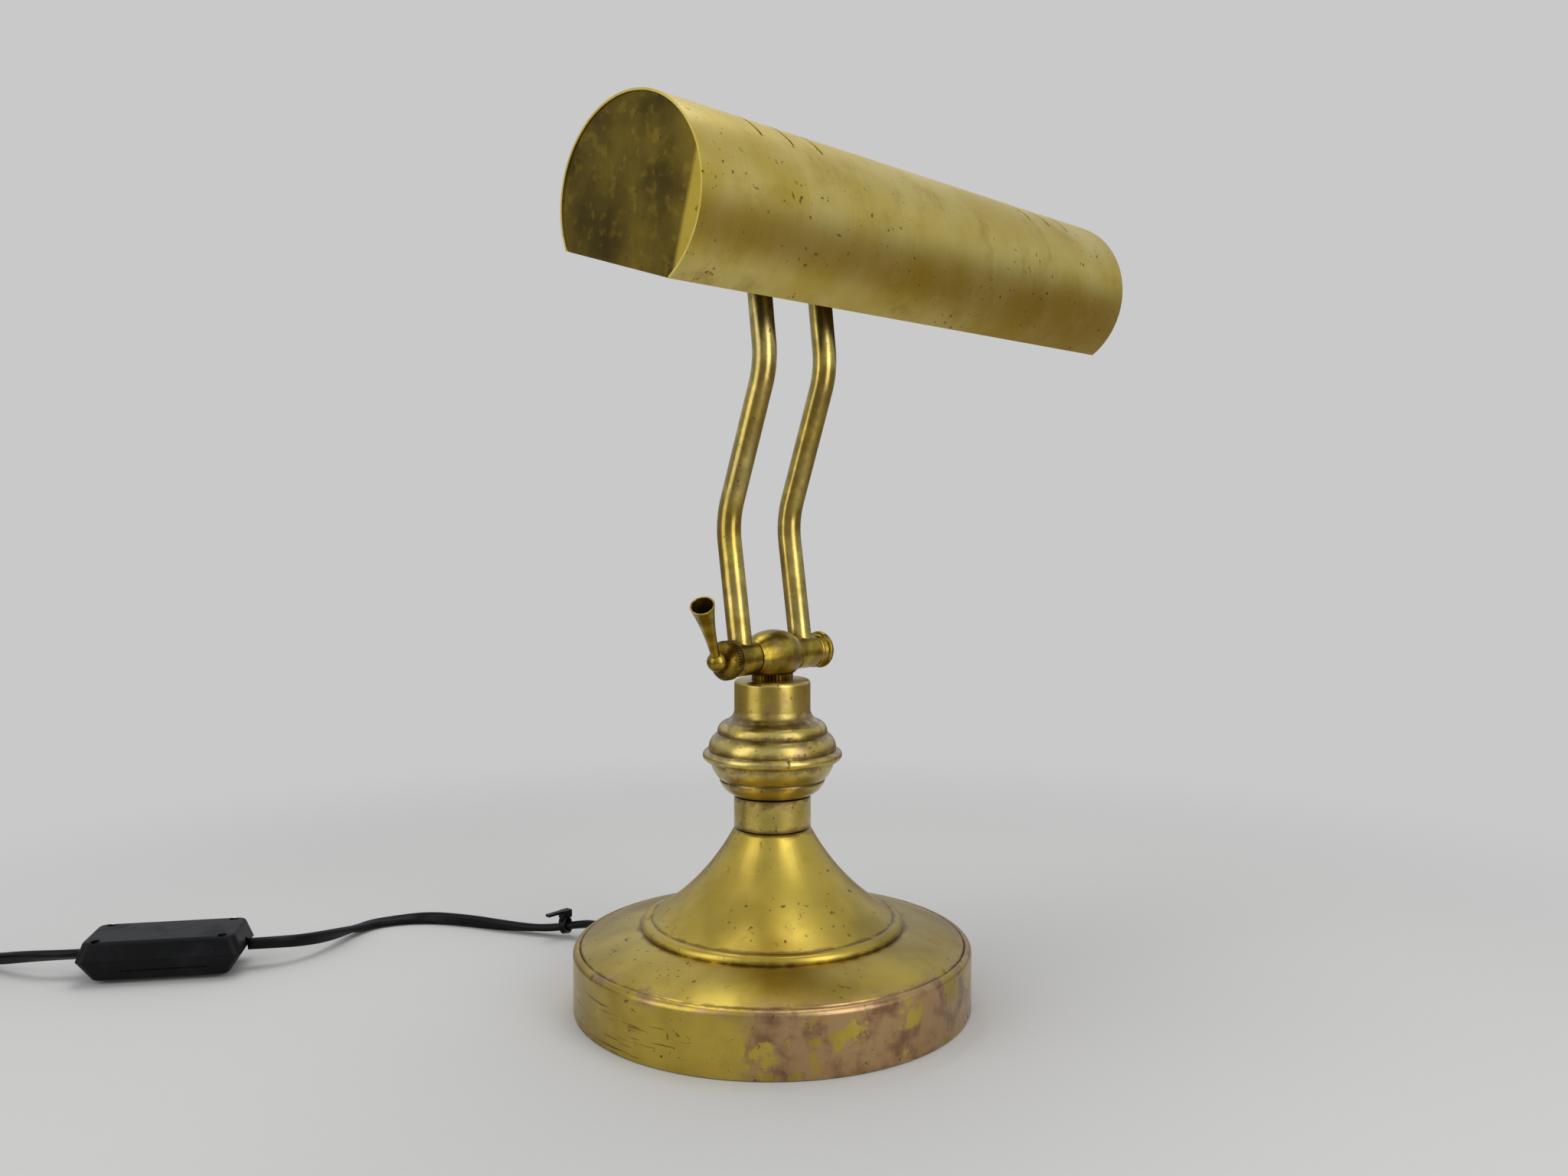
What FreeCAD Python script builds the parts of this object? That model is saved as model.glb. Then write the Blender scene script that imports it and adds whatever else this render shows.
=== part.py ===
import FreeCAD, Part
import math
import os

# Piano lamp in aged brass: a weighted round base, a turned column, two bent arms on a
# clamped barrel pivot, and a long three-quarter round shade open underneath.
# Millimetres. Z is up, the origin is the centre of the base on the table, X runs along
# the pivot barrel and the shade, and the cord leaves the base at the back, towards +Y.

V = FreeCAD.Vector
X_AXIS = V(1, 0, 0)
Y_AXIS = V(0, 1, 0)
Z_AXIS = V(0, 0, 1)

# Clearances
FACE_GAP = 0.05
RUN_GAP = 0.06
BODY_GAP = 0.35

# Length of a cutter that goes right through a fitting
THROUGH = 60.0

# Base
BASE_RADIUS = 80.0
SKIRT_TOP = 25.0
SKIRT_EDGE = 2.4
SHEET = 1.0
FELT_INSET = 4.0
FELT_THICK = 2.0
SKIRT_FOOT = 0.4
COVER_THICK = 1.2
GROOVE_WIDTH = 1.0
GROOVE_DEPTH = 0.55
BEAD_RADIUS = 50.9
BEAD_HEIGHT = 35.0
BEAD_HALF = 1.9
DOME_RISE = 6.4
CONE_TOP = 71.0
CONE_TOP_RADIUS = 15.9
CONE_DISH = (3.2, 1.7)
WEIGHT_THICK = 13.0
WEIGHT_INSET = 5.0
WEIGHT_BORE = 26.0
SPIDER_WIDTH = 16.0
SPIDER_THICK = 2.5

# Column
ROD_RADIUS = 5.0
ROD_BORE = 3.7
COLLAR_RADIUS = 15.5
COLLAR_GAP = 0.6
COLLAR_HEIGHT = 12.4
CUP_HEIGHT = 14.2
RIM_RADIUS = 28.0
NECK_RADIUS = 15.3
COLUMN_SHEET = 1.2
LOCKNUT_RADIUS = 8.3
LOCKNUT_THICK = 2.4
ROD_NUT_FLATS = 14.0
ROD_NUT_THICK = 4.0

# Pivot
PIVOT_HEIGHT = 140.4
PIVOT_ABOVE_NECK = 9.6
BARREL_RADIUS = 10.3
BARREL_END_RADIUS = 6.7
BARREL_HALF = 12.0
CLAMP_RADIUS = 2.5
FRICTION_THICK = 0.3
KNUCKLE_RADIUS = 6.85
KNUCKLE_LENGTH = 11.2
WASHER_THICK = 1.6
KNURL_RADIUS = 7.7
KNURL_LENGTH = 3.4
KNURL_TEETH = 44
END_CAP_LENGTH = 7.4
END_CAP_RADIUS = 7.6
BALL_RADIUS = 4.0
LEVER_LENGTH = 31.0
LEVER_NECK = 1.8
LEVER_MOUTH = 4.7
LEVER_OUT = 36.0
LEVER_FORWARD = 24.0

# Arms
ARM_RADIUS = 4.75
ARM_WALL = 0.75
ARM_BEND = 36.0
ARM_LOW = (7.6, 194.3)
ARM_HIGH = (-12.8, 254.1)
ARM_TOP_LEAN = 6.7
ARM_TOP = 286.6

# Shade
SHADE_RADIUS = 35.4
SHADE_SHEET = 0.8
SHADE_LENGTH = 285.0
SHADE_SHIFT = 52.9
SHADE_Y = -15.0
SHADE_Z = 303.3
SHADE_ROLL = 16.4
SHADE_HALF_ARC = 129.5
SLIT_FIRST = 38.0
SLIT_PITCH = 16.2
SLIT_COUNT = 3
SLIT_WIDTH = 1.1
SLIT_HALF_ARC = 32.6
CAP_SHEET = 0.8
CAP_FLANGE = 5.0
CAP_INSET = 0.5

# Fittings inside the shade
BRIDGE_THICK = 2.0
BRIDGE_WIDTH = 12.0
BRIDGE_OVERHANG = 6.0
TAB_WIDTH = 8.4
TAB_DROP = 7.0
EAR_THICK = 1.5
EAR_RADIUS = 5.0
BRIDGE_EAR_X = 5.0
SADDLE_WIDTH = 16.0
SADDLE_THICK = 1.5
TILT_ABOVE = 9.5
TILT_RADIUS = 2.0
NIPPLE_RADIUS = 3.35
NIPPLE_BORE = 2.3
NIPPLE_DEPTH = 4.0
NIPPLE_LENGTH = 11.0
TOP_NUT_FLATS = 11.0
TOP_NUT_THICK = 3.0
FLEX_RADIUS = 1.6
FLEX_ENTRY = 11.6
HOLDER_START = 27.0
HOLDER_RADIUS = 13.0
HOLDER_LENGTH = 34.0
HOLDER_WALL = 2.6
BULB_RADIUS = 12.5
BULB_LENGTH = 84.0
BULB_WALL = 1.0
BULB_CAP_RADIUS = 6.9
BULB_CAP_LENGTH = 22.0

# Cord and what is on it
CORD_RADIUS = 2.8
CORD_LIE = CORD_RADIUS + 0.1
EXIT_HEIGHT = 8.6
RELIEF_ROOT = 4.6
RELIEF_TIP = 3.5
GROMMET_RADIUS = 6.4
SWITCH_X = -148.6
SWITCH_Y = 216.1
SWITCH_TURN = -38.2
SWITCH_LENGTH = 66.0
SWITCH_WIDTH = 30.0
SWITCH_FOOT = 1.7
SWITCH_SEAM = 10.6
SWITCH_TOP = 18.6
SWITCH_TOP_INSET = 3.0
SWITCH_FOOT_INSET = 6.0
SWITCH_WALL = 1.6
SWITCH_SCREW_U = 25.0
SWITCH_SCREW_V = 11.4
SWITCH_SCREW_RADIUS = 1.9
ROCKER_LENGTH = 16.0
ROCKER_WIDTH = 9.0
ROCKER_TILT = 6.0
ROCKER_PIN_RADIUS = 1.0
COIL_X = -248.0
COIL_Y = 284.2
COIL_OUTER = 41.5
COIL_PITCH = 2 * CORD_RADIUS + 0.55
COIL_TURN = 35.0
COIL_LOW_HALVES = 7
COIL_HIGH_HALVES = 6
PLUG_LENGTH = 34.0
PLUG_WIDTH = 26.0
PLUG_HEIGHT = 13.6
PIN_RADIUS = 2.0
PIN_LENGTH = 19.0
PIN_SPACING = 18.6
PIN_SEAT = 10.0

# Places that follow from the sizes above
ARM_X = BARREL_HALF + FRICTION_THICK + KNUCKLE_LENGTH / 2
KNUCKLE_END = BARREL_HALF + FRICTION_THICK + KNUCKLE_LENGTH
KNURL_START = KNUCKLE_END + WASHER_THICK
KNURL_END = KNURL_START + KNURL_LENGTH
BALL_X = -(KNURL_END + BALL_RADIUS * 0.8)
NECK_TOP = PIVOT_HEIGHT - PIVOT_ABOVE_NECK
COLLAR_FOOT = CONE_TOP + COLLAR_GAP
CUP_FOOT = COLLAR_FOOT + COLLAR_HEIGHT
RIM_HEIGHT = CUP_FOOT + CUP_HEIGHT + 1.9
LOCKNUT_FOOT = NECK_TOP + FACE_GAP
BARREL_FOOT = LOCKNUT_FOOT + LOCKNUT_THICK + FACE_GAP
ROD_TOP = BARREL_FOOT + 3.2
SHADE_LEFT = SHADE_SHIFT - SHADE_LENGTH / 2
SHADE_RIGHT = SHADE_SHIFT + SHADE_LENGTH / 2
SHADE_INNER = SHADE_RADIUS - SHADE_SHEET
COVER_FOOT = FELT_THICK
FELT_RADIUS = BASE_RADIUS - FELT_INSET
WEIGHT_RADIUS = BASE_RADIUS - WEIGHT_INSET
GROMMET_FACE = BASE_RADIUS + 1.2
WEIGHT_FOOT = COVER_FOOT + COVER_THICK


def edges_through(start, steps):
    """Edges from start; a step is a point for a line or a pair (through, end) for an arc."""
    edges = []
    here = start
    for step in steps:
        if isinstance(step, tuple):
            through, end = step
            edges.append(Part.Arc(here, through, end).toShape())
        else:
            end = step
            edges.append(Part.LineSegment(here, end).toShape())
        here = end
    return edges


def turned(start, *steps):
    """Solid turned about Z from a closed outline of (radius, height) points."""
    def place(point):
        return V(point[0], 0, point[1])
    placed = [(place(s[0]), place(s[1])) if isinstance(s[0], tuple) else place(s) for s in steps]
    edges = edges_through(place(start), placed)
    edges.append(Part.LineSegment(edges[-1].Vertexes[-1].Point, place(start)).toShape())
    face = Part.Face(Part.Wire(edges))
    return solid(face.revolve(V(0, 0, 0), Z_AXIS, 360))


def solid(shape):
    """The one solid in a shape, with its faces pointing outwards."""
    found = shape.Solids[0] if shape.Solids else Part.Solid(shape)
    if found.Volume < 0:
        found.reverse()
    return found


def rod(radius, length, foot, along=Z_AXIS):
    return Part.makeCylinder(radius, length, foot, along)


def tube(outer, inner, length, foot, along=Z_AXIS):
    start = foot - along * 0.5
    return rod(outer, length, foot, along).cut(rod(inner, length + 1, start, along))


def slab(x, y, z, centre):
    return Part.makeBox(x, y, z, centre - V(x / 2, y / 2, z / 2))


def turn(shape, base, axis, degrees):
    shape = shape.copy()
    shape.rotate(base, axis, degrees)
    return shape


def move(shape, vector):
    shape = shape.copy()
    shape.translate(vector)
    return shape


def along_x(shape):
    """Lay a shape turned about Z along X, so its top points to +X."""
    return turn(shape, V(0, 0, 0), Y_AXIS, 90)


def hex_prism(flats, height, foot):
    corner = flats / math.sqrt(3)
    points = [foot + V(corner * math.cos(math.radians(60 * k)), corner * math.sin(math.radians(60 * k)), 0)
              for k in range(7)]
    return Part.Face(Part.makePolygon(points)).extrude(V(0, 0, height))


def knurled(body, radius, depth, teeth, length, foot):
    """Cut straight V grooves round a body turned about Z."""
    half = depth * 0.9
    near = V(radius - depth, 0, foot.z)
    wide = V(radius + depth, 0, foot.z)
    notch = Part.Face(Part.makePolygon([near, wide + V(0, -half * 2, 0), wide + V(0, half * 2, 0), near]))
    notch = notch.extrude(V(0, 0, length))
    notches = [turn(notch, V(0, 0, 0), Z_AXIS, 360.0 * k / teeth) for k in range(teeth)]
    return body.cut(Part.makeCompound(notches))


# Base

def base_outline(inset):
    """The spun base from the groove inwards, as steps of (radius, height); inset is the sheet."""
    edge = BASE_RADIUS - SKIRT_EDGE
    dome_foot = SKIRT_TOP + 0.2
    crease = dome_foot + DOME_RISE
    bead_out = BEAD_RADIUS + BEAD_HALF
    bead_in = BEAD_RADIUS - BEAD_HALF
    dome_run = edge - bead_out
    cone_mid = ((bead_in + CONE_TOP_RADIUS) / 2 - CONE_DISH[0], (BEAD_HEIGHT + CONE_TOP) / 2 - CONE_DISH[1])
    lean = inset * 0.7
    return [
        ((BASE_RADIUS - SKIRT_EDGE * 0.29 - lean, SKIRT_TOP - SKIRT_EDGE * 0.29 - lean),
         (edge, SKIRT_TOP - inset)),
        (edge - GROOVE_WIDTH / 2, SKIRT_TOP - GROOVE_DEPTH - inset),
        (edge - GROOVE_WIDTH, dome_foot - inset),
        ((edge - dome_run / 2, dome_foot + DOME_RISE * 0.62 - inset), (bead_out, crease - inset)),
        ((BEAD_RADIUS + BEAD_HALF * 0.58 - lean, BEAD_HEIGHT - BEAD_HALF * 0.37 - lean),
         (BEAD_RADIUS - BEAD_HALF * 0.63, BEAD_HEIGHT - inset)),
        (bead_in, BEAD_HEIGHT - 0.1 - inset),
        ((cone_mid[0] - lean, cone_mid[1] - lean), (CONE_TOP_RADIUS - lean, CONE_TOP - 1.0 - inset)),
        (CONE_TOP_RADIUS - 1.0 - lean, CONE_TOP - inset),
    ]


def base_shell():
    outer = turned((0, SKIRT_FOOT), (BASE_RADIUS, SKIRT_FOOT), (BASE_RADIUS, SKIRT_TOP - SKIRT_EDGE),
                   *base_outline(0), (0, CONE_TOP))
    wall = BASE_RADIUS - SHEET
    low = SKIRT_FOOT - 1
    inner = turned((0, low), (wall, low), (wall, SKIRT_TOP - SKIRT_EDGE - SHEET),
                   *base_outline(SHEET), (0, CONE_TOP - SHEET))
    shell = outer.cut(inner)
    shell = shell.cut(rod(ROD_RADIUS + FACE_GAP, SHEET * 3, V(0, 0, CONE_TOP - SHEET * 2)))
    return solid(shell.cut(rod(GROMMET_RADIUS - 1.2, 6, V(0, BASE_RADIUS - 4, EXIT_HEIGHT), Y_AXIS)))


def base_weight():
    """Cast iron ring, notched at the back so that the cord can pass."""
    height = WEIGHT_FOOT + WEIGHT_THICK
    ring = turned((WEIGHT_BORE, WEIGHT_FOOT), (WEIGHT_RADIUS, WEIGHT_FOOT), (WEIGHT_RADIUS, height),
                  (WEIGHT_BORE + 8, height + 4), (WEIGHT_BORE, height + 4))
    notch = slab(2 * GROMMET_RADIUS + 4, WEIGHT_RADIUS, WEIGHT_THICK + 12, V(0, WEIGHT_RADIUS * 0.8, height))
    notch.translate(V(0, 0, WEIGHT_FOOT - notch.BoundBox.ZMin - 1))
    return solid(ring.cut(notch))


def base_cover():
    """Steel plate that closes the base, held up by the nut on the rod."""
    plate = rod(BASE_RADIUS - SHEET - 0.3, COVER_THICK, V(0, 0, COVER_FOOT))
    return plate.cut(rod(ROD_RADIUS + FACE_GAP, COVER_THICK + 2, V(0, 0, COVER_FOOT - 1)))


def felt_pad():
    return rod(FELT_RADIUS, FELT_THICK, V(0, 0, 0))


def weight_spider():
    """Cross bar over the weight that the column rod pulls down on."""
    top = WEIGHT_FOOT + WEIGHT_THICK + 4
    bar = slab(2 * WEIGHT_BORE + SPIDER_WIDTH, SPIDER_WIDTH, SPIDER_THICK, V(0, 0, top + SPIDER_THICK / 2))
    return bar.cut(rod(ROD_RADIUS + FACE_GAP, SPIDER_THICK * 2, V(0, 0, top - SPIDER_THICK / 2)))


def rod_nut():
    foot = WEIGHT_FOOT + WEIGHT_THICK + 4 - ROD_NUT_THICK - FACE_GAP
    nut = hex_prism(ROD_NUT_FLATS, ROD_NUT_THICK, V(0, 0, foot))
    return nut.cut(rod(ROD_RADIUS, ROD_NUT_THICK + 2, V(0, 0, foot - 1)))


def cover_nut():
    foot = WEIGHT_FOOT + FACE_GAP
    nut = hex_prism(ROD_NUT_FLATS, ROD_NUT_THICK, V(0, 0, foot))
    return nut.cut(rod(ROD_RADIUS, ROD_NUT_THICK + 2, V(0, 0, foot - 1)))


def threaded_rod():
    """Hollow threaded rod with a slot low down where the flex goes in."""
    pipe = tube(ROD_RADIUS, ROD_BORE, ROD_TOP - COVER_FOOT, V(0, 0, COVER_FOOT))
    width = 2 * FLEX_RADIUS + 1
    return pipe.cut(slab(width, ROD_RADIUS + 1, width + 1.5, V(0, (ROD_RADIUS + 1) / 2, FLEX_ENTRY + 0.75)))


# Column

def collar_seat():
    """Thin seat ring that shows as the dark gap over the cone."""
    return tube(COLLAR_RADIUS - 1.6, ROD_RADIUS + FACE_GAP, COLLAR_GAP, V(0, 0, CONE_TOP))


def column_collar():
    return tube(COLLAR_RADIUS, COLLAR_RADIUS - COLUMN_SHEET, COLLAR_HEIGHT, V(0, 0, COLLAR_FOOT))


def bulb_lower_cup():
    """Lower half of the turned bulb: a round bead, a crease, then the cup."""
    z = CUP_FOOT
    full = RIM_RADIUS - 3.0
    neck = COLLAR_RADIUS + 0.1
    step = full - 3.8
    top = z + CUP_HEIGHT
    thin = COLUMN_SHEET
    return turned((neck - 2, z), (neck, z + 0.6), ((neck + 4.1, z + 3.4), (step, z + 6.2)),
                  (step - 0.1, z + 6.9), ((full - 1.2, z + 10.4), (full, top)),
                  (full - thin, top), ((full - 1.2 - thin, z + 10.4), (step - thin, z + 6.9)),
                  (step - thin - 3, z + 3.2 + thin), (ROD_RADIUS + FACE_GAP, z + 0.8 + thin),
                  (ROD_RADIUS + FACE_GAP, z))


def bulb_upper_dome():
    """Upper half: rim, dome, bead, concave fillet, neck and its closed top, spun in one."""
    rim = RIM_HEIGHT
    foot = CUP_FOOT + CUP_HEIGHT + FACE_GAP
    full = RIM_RADIUS - 2.4
    bead = rim + 9.0
    fillet = rim + 14.0
    thin = COLUMN_SHEET
    outer = turned((0, foot), (full, foot), ((RIM_RADIUS, rim), (full, rim + 2.5)),
                   ((full - 0.7, rim + 6.3), (full - 3.3, bead)), (full - 3.5, bead + 0.1),
                   ((full - 4.1, rim + 12.0), (full - 6.8, fillet)), (full - 7.0, fillet + 0.1),
                   ((NECK_RADIUS + 1.0, rim + 15.8), (NECK_RADIUS, rim + 18.6)),
                   (NECK_RADIUS, NECK_TOP - 1.8),
                   ((NECK_RADIUS - 0.5, NECK_TOP - 0.5), (NECK_RADIUS - 1.8, NECK_TOP)), (0, NECK_TOP))
    hollow = turned((0, foot - 1), (full - thin, foot - 1), (full - thin, rim + 3.0),
                    ((full - 1.9, rim + 6.0), (full - 3.6 - thin, bead - 1)),
                    (NECK_RADIUS - 0.2, fillet - 1.2), (NECK_RADIUS - thin, rim + 17),
                    (NECK_RADIUS - thin, NECK_TOP - 1.6), (0, NECK_TOP - 1.6))
    dome = outer.cut(hollow)
    return solid(dome.cut(rod(ROD_RADIUS + FACE_GAP, 4, V(0, 0, NECK_TOP - 2.5))))


def locknut():
    body = tube(LOCKNUT_RADIUS, ROD_RADIUS + RUN_GAP, LOCKNUT_THICK, V(0, 0, LOCKNUT_FOOT))
    return solid(knurled(body, LOCKNUT_RADIUS, 0.4, 36, LOCKNUT_THICK, V(0, 0, LOCKNUT_FOOT)))


# Pivot: shapes are turned about Z at the origin, then laid along X at the pivot

def at_pivot(shape):
    return move(along_x(shape), V(0, 0, PIVOT_HEIGHT))


def pivot_barrel():
    """Ovoid casting with a faced underside, bored along X for the clamp screw."""
    end = BARREL_HALF
    shoulder = end - 0.8
    body = turned((0, -end), (BARREL_END_RADIUS, -end), (BARREL_END_RADIUS + 0.4, -shoulder),
                  ((BARREL_RADIUS, 0), (BARREL_END_RADIUS + 0.4, shoulder)),
                  (BARREL_END_RADIUS, end), (0, end))
    body = at_pivot(body)
    body = body.cut(slab(THROUGH, THROUGH, 2 * BARREL_RADIUS, V(0, 0, BARREL_FOOT - BARREL_RADIUS)))
    body = body.cut(rod(CLAMP_RADIUS + RUN_GAP, THROUGH, V(-THROUGH / 2, 0, PIVOT_HEIGHT), X_AXIS))
    return solid(body.cut(rod(ROD_RADIUS + RUN_GAP, ROD_TOP - BARREL_FOOT + 0.5, V(0, 0, BARREL_FOOT))))


def friction_washers():
    rings = []
    for side in (-1, 1):
        near = min(side * BARREL_HALF, side * (BARREL_HALF + FRICTION_THICK))
        foot = V(near, 0, PIVOT_HEIGHT)
        ring = tube(BARREL_END_RADIUS - 0.5, CLAMP_RADIUS + 0.4, FRICTION_THICK - FACE_GAP, foot, X_AXIS)
        rings.append(move(ring, V(FACE_GAP if side < 0 else 0, 0, 0)))
    return Part.makeCompound(rings)


def arm_path(x, start_at):
    """Centre line of an arm: three straight runs and two bends in a plane of constant X."""
    base = V(x, 0, PIVOT_HEIGHT)
    low = V(x, ARM_LOW[0], ARM_LOW[1])
    high = V(x, ARM_HIGH[0], ARM_HIGH[1])
    rise = (ARM_TOP - ARM_HIGH[1])
    top = high + V(0, rise * math.tan(math.radians(ARM_TOP_LEAN)), rise)
    first = (low - base).normalize()
    points = [base + first * start_at, low, high, top]
    return rounded(points, [ARM_BEND, ARM_BEND])


def rounded(points, radii):
    """Edges of straight runs with a tangent arc of the given radius at each inner point."""
    edges = []
    here = points[0]
    for before, corner, after, radius in zip(points, points[1:], points[2:], radii):
        come = (corner - before).normalize()
        go = (after - corner).normalize()
        half = come.getAngle(go) / 2
        reach = radius * math.tan(half)
        start = corner - come * reach
        end = corner + go * reach
        inward = (go - come).normalize()
        through = corner + inward * (radius / math.cos(half) - radius)
        edges.append(Part.LineSegment(here, start).toShape())
        edges.append(Part.Arc(start, through, end).toShape())
        here = end
    edges.append(Part.LineSegment(here, points[-1]).toShape())
    return edges


def swept(edges, radius):
    """A round tube along edges that start straight."""
    path = Part.Wire(edges)
    first = edges[0]
    start = first.valueAt(first.FirstParameter)
    heading = first.tangentAt(first.FirstParameter)
    ring = Part.Wire(Part.makeCircle(radius, start, heading))
    return solid(path.makePipeShell([ring], True, False))


def arm_start():
    return CLAMP_RADIUS + 1.2


def arm_tube(side):
    edges = arm_path(side * ARM_X, arm_start())
    return solid(swept(edges, ARM_RADIUS).cut(swept(edges, ARM_RADIUS - ARM_WALL)))


def arm_knuckle(side):
    """Short turned knuckle, bored for the clamp screw and socketed for its arm."""
    half = KNUCKLE_LENGTH / 2
    body = turned((0, -half), (KNUCKLE_RADIUS - 0.5, -half), (KNUCKLE_RADIUS, 0.5 - half),
                  (KNUCKLE_RADIUS, half - 0.5), (KNUCKLE_RADIUS - 0.5, half), (0, half))
    body = move(at_pivot(body), V(side * ARM_X, 0, 0))
    middle = V(side * ARM_X, 0, PIVOT_HEIGHT)
    body = body.cut(rod(CLAMP_RADIUS + RUN_GAP, THROUGH, middle - X_AXIS * (THROUGH / 2), X_AXIS))
    first = arm_path(side * ARM_X, arm_start())[0]
    foot = first.valueAt(first.FirstParameter)
    lean = first.tangentAt(first.FirstParameter)
    return solid(body.cut(rod(ARM_RADIUS + FACE_GAP, 20, foot - lean * FACE_GAP, lean)))


def pivot_washer():
    foot = V(-KNURL_START + FACE_GAP, 0, PIVOT_HEIGHT)
    length = WASHER_THICK - 2 * FACE_GAP
    return tube(KNUCKLE_RADIUS + 0.1, CLAMP_RADIUS + RUN_GAP, length, foot, X_AXIS)


def end_cap():
    """Flanged nut that closes the right end: bead, groove and flange."""
    r = END_CAP_RADIUS
    length = END_CAP_LENGTH
    cap = turned((0, 0), (r - 1.6, 0), ((r - 0.5, 1.1), (r - 1.5, 2.3)), (r - 1.7, 2.6), (r - 0.8, 3.8),
                 (r - 1.0, 4.3), ((r, 5.4), (r - 0.8, length - 0.6)),
                 (r - 2.4, length), (0, length))
    cap = move(at_pivot(cap), V(KNUCKLE_END + FACE_GAP, 0, 0))
    bore_foot = V(KNUCKLE_END - 0.5, 0, PIVOT_HEIGHT)
    return solid(cap.cut(rod(CLAMP_RADIUS + RUN_GAP, length - 2, bore_foot, X_AXIS)))


def clamp_screw():
    length = KNURL_END + KNUCKLE_END + END_CAP_LENGTH - 3.2
    return rod(CLAMP_RADIUS, length, V(-KNURL_END, 0, PIVOT_HEIGHT), X_AXIS)


def knurled_head():
    """Knurled head of the clamp screw with a domed outer face."""
    r = KNURL_RADIUS
    body = turned((0, -1.0), ((r * 0.6, -0.7), (r - 0.7, 0)), (r, 0.7), (r, KNURL_LENGTH - 0.4),
                  (r - 0.4, KNURL_LENGTH), (0, KNURL_LENGTH))
    body = knurled(body, r, 0.35, KNURL_TEETH, KNURL_LENGTH - 0.8, V(0, 0, 0.9))
    body = move(at_pivot(body), V(-KNURL_END, 0, 0))
    body = body.cut(rod(CLAMP_RADIUS + FACE_GAP, KNURL_LENGTH + 2, V(-KNURL_END, 0, PIVOT_HEIGHT), X_AXIS))
    return solid(body.cut(Part.makeSphere(BALL_RADIUS + FACE_GAP, V(BALL_X, 0, PIVOT_HEIGHT))))


def clamp_lever():
    """Ball with a trumpet-shaped lever whose wide mouth is open."""
    reach = LEVER_LENGTH
    mid = (LEVER_NECK * 0.75 + LEVER_MOUTH * 0.25)
    horn = turned((0, 0), (LEVER_NECK, 0), ((mid, reach * 0.55), (LEVER_MOUTH, reach)),
                  (LEVER_MOUTH - 0.6, reach), ((mid + 0.2, reach * 0.75), (mid - 0.9, reach * 0.5)),
                  (0, reach * 0.48))
    horn = turn(horn, V(0, 0, 0), X_AXIS, LEVER_FORWARD)
    lean_axis = V(0, math.cos(math.radians(LEVER_FORWARD)), math.sin(math.radians(LEVER_FORWARD)))
    horn = turn(horn, V(0, 0, 0), lean_axis, -LEVER_OUT)
    centre = V(BALL_X, 0, PIVOT_HEIGHT)
    ball = Part.makeSphere(BALL_RADIUS, centre)
    ball = ball.cut(rod(CLAMP_RADIUS + 0.3, 6, V(-KNURL_END - 0.02, 0, PIVOT_HEIGHT), X_AXIS))
    return solid(ball.fuse(move(horn, centre)))


# Arm tops and the tilting joint of the shade

def arm_top_point(side):
    last = arm_path(side * ARM_X, arm_start())[-1]
    return last.valueAt(last.LastParameter)


def tilt_centre():
    top = arm_top_point(1)
    return V(0, top.y, top.z + TILT_ABOVE)


def arm_bridge():
    """Zinc-plated bracket across the arm tops, with two ears up and a front tab down."""
    top = arm_top_point(1)
    length = 2 * (ARM_X + BRIDGE_OVERHANG)
    foot = top.z + 0.7
    plate = slab(length, BRIDGE_WIDTH, BRIDGE_THICK, V(0, top.y, foot + BRIDGE_THICK / 2))
    tab = slab(TAB_WIDTH, 1.2, TAB_DROP, V(0, top.y - BRIDGE_WIDTH / 2 + 0.6, foot - TAB_DROP / 2 + 0.01))
    bracket = plate.fuse(tab)
    centre = tilt_centre()
    for side in (-1, 1):
        ear_x = side * BRIDGE_EAR_X - EAR_THICK / 2
        ear = rod(EAR_RADIUS, EAR_THICK, V(ear_x, centre.y, centre.z), X_AXIS)
        leg_height = centre.z - foot
        leg = Part.makeBox(EAR_THICK, 2 * EAR_RADIUS, leg_height, V(ear_x, centre.y - EAR_RADIUS, foot))
        bracket = bracket.fuse(ear).fuse(leg)
        bracket = bracket.cut(rod(NIPPLE_RADIUS + FACE_GAP, 10, V(side * ARM_X, top.y, foot - 4)))
    bracket = bracket.cut(rod(TILT_RADIUS + FACE_GAP, THROUGH, centre - V(THROUGH / 2, 0, 0), X_AXIS))
    return solid(bracket.removeSplitter())


def arm_nipples():
    """Threaded hollow nipples that join the arms to the bridge."""
    parts = []
    for side in (-1, 1):
        top = arm_top_point(side)
        foot = V(top.x, top.y, top.z - NIPPLE_DEPTH)
        parts.append(tube(NIPPLE_RADIUS, NIPPLE_BORE, NIPPLE_LENGTH, foot))
    return Part.makeCompound(parts)


def arm_top_nuts():
    parts = []
    for side in (-1, 1):
        top = arm_top_point(side)
        foot = V(top.x, top.y, top.z + 0.7 + BRIDGE_THICK + FACE_GAP)
        nut = hex_prism(TOP_NUT_FLATS, TOP_NUT_THICK, foot)
        parts.append(nut.cut(rod(NIPPLE_RADIUS + FACE_GAP, TOP_NUT_THICK + 2, foot - V(0, 0, 1))))
    return Part.makeCompound(parts)


def tilt_bolt():
    centre = tilt_centre()
    reach = BRIDGE_EAR_X + EAR_THICK * 1.5 + BODY_GAP + 0.4
    shank = rod(TILT_RADIUS, 2 * reach + 2.5, centre - V(reach, 0, 0), X_AXIS)
    head = rod(TILT_RADIUS + 1.7, 2.0, centre - V(reach + 2, 0, 0), X_AXIS)
    return solid(shank.fuse(head).removeSplitter())


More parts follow.
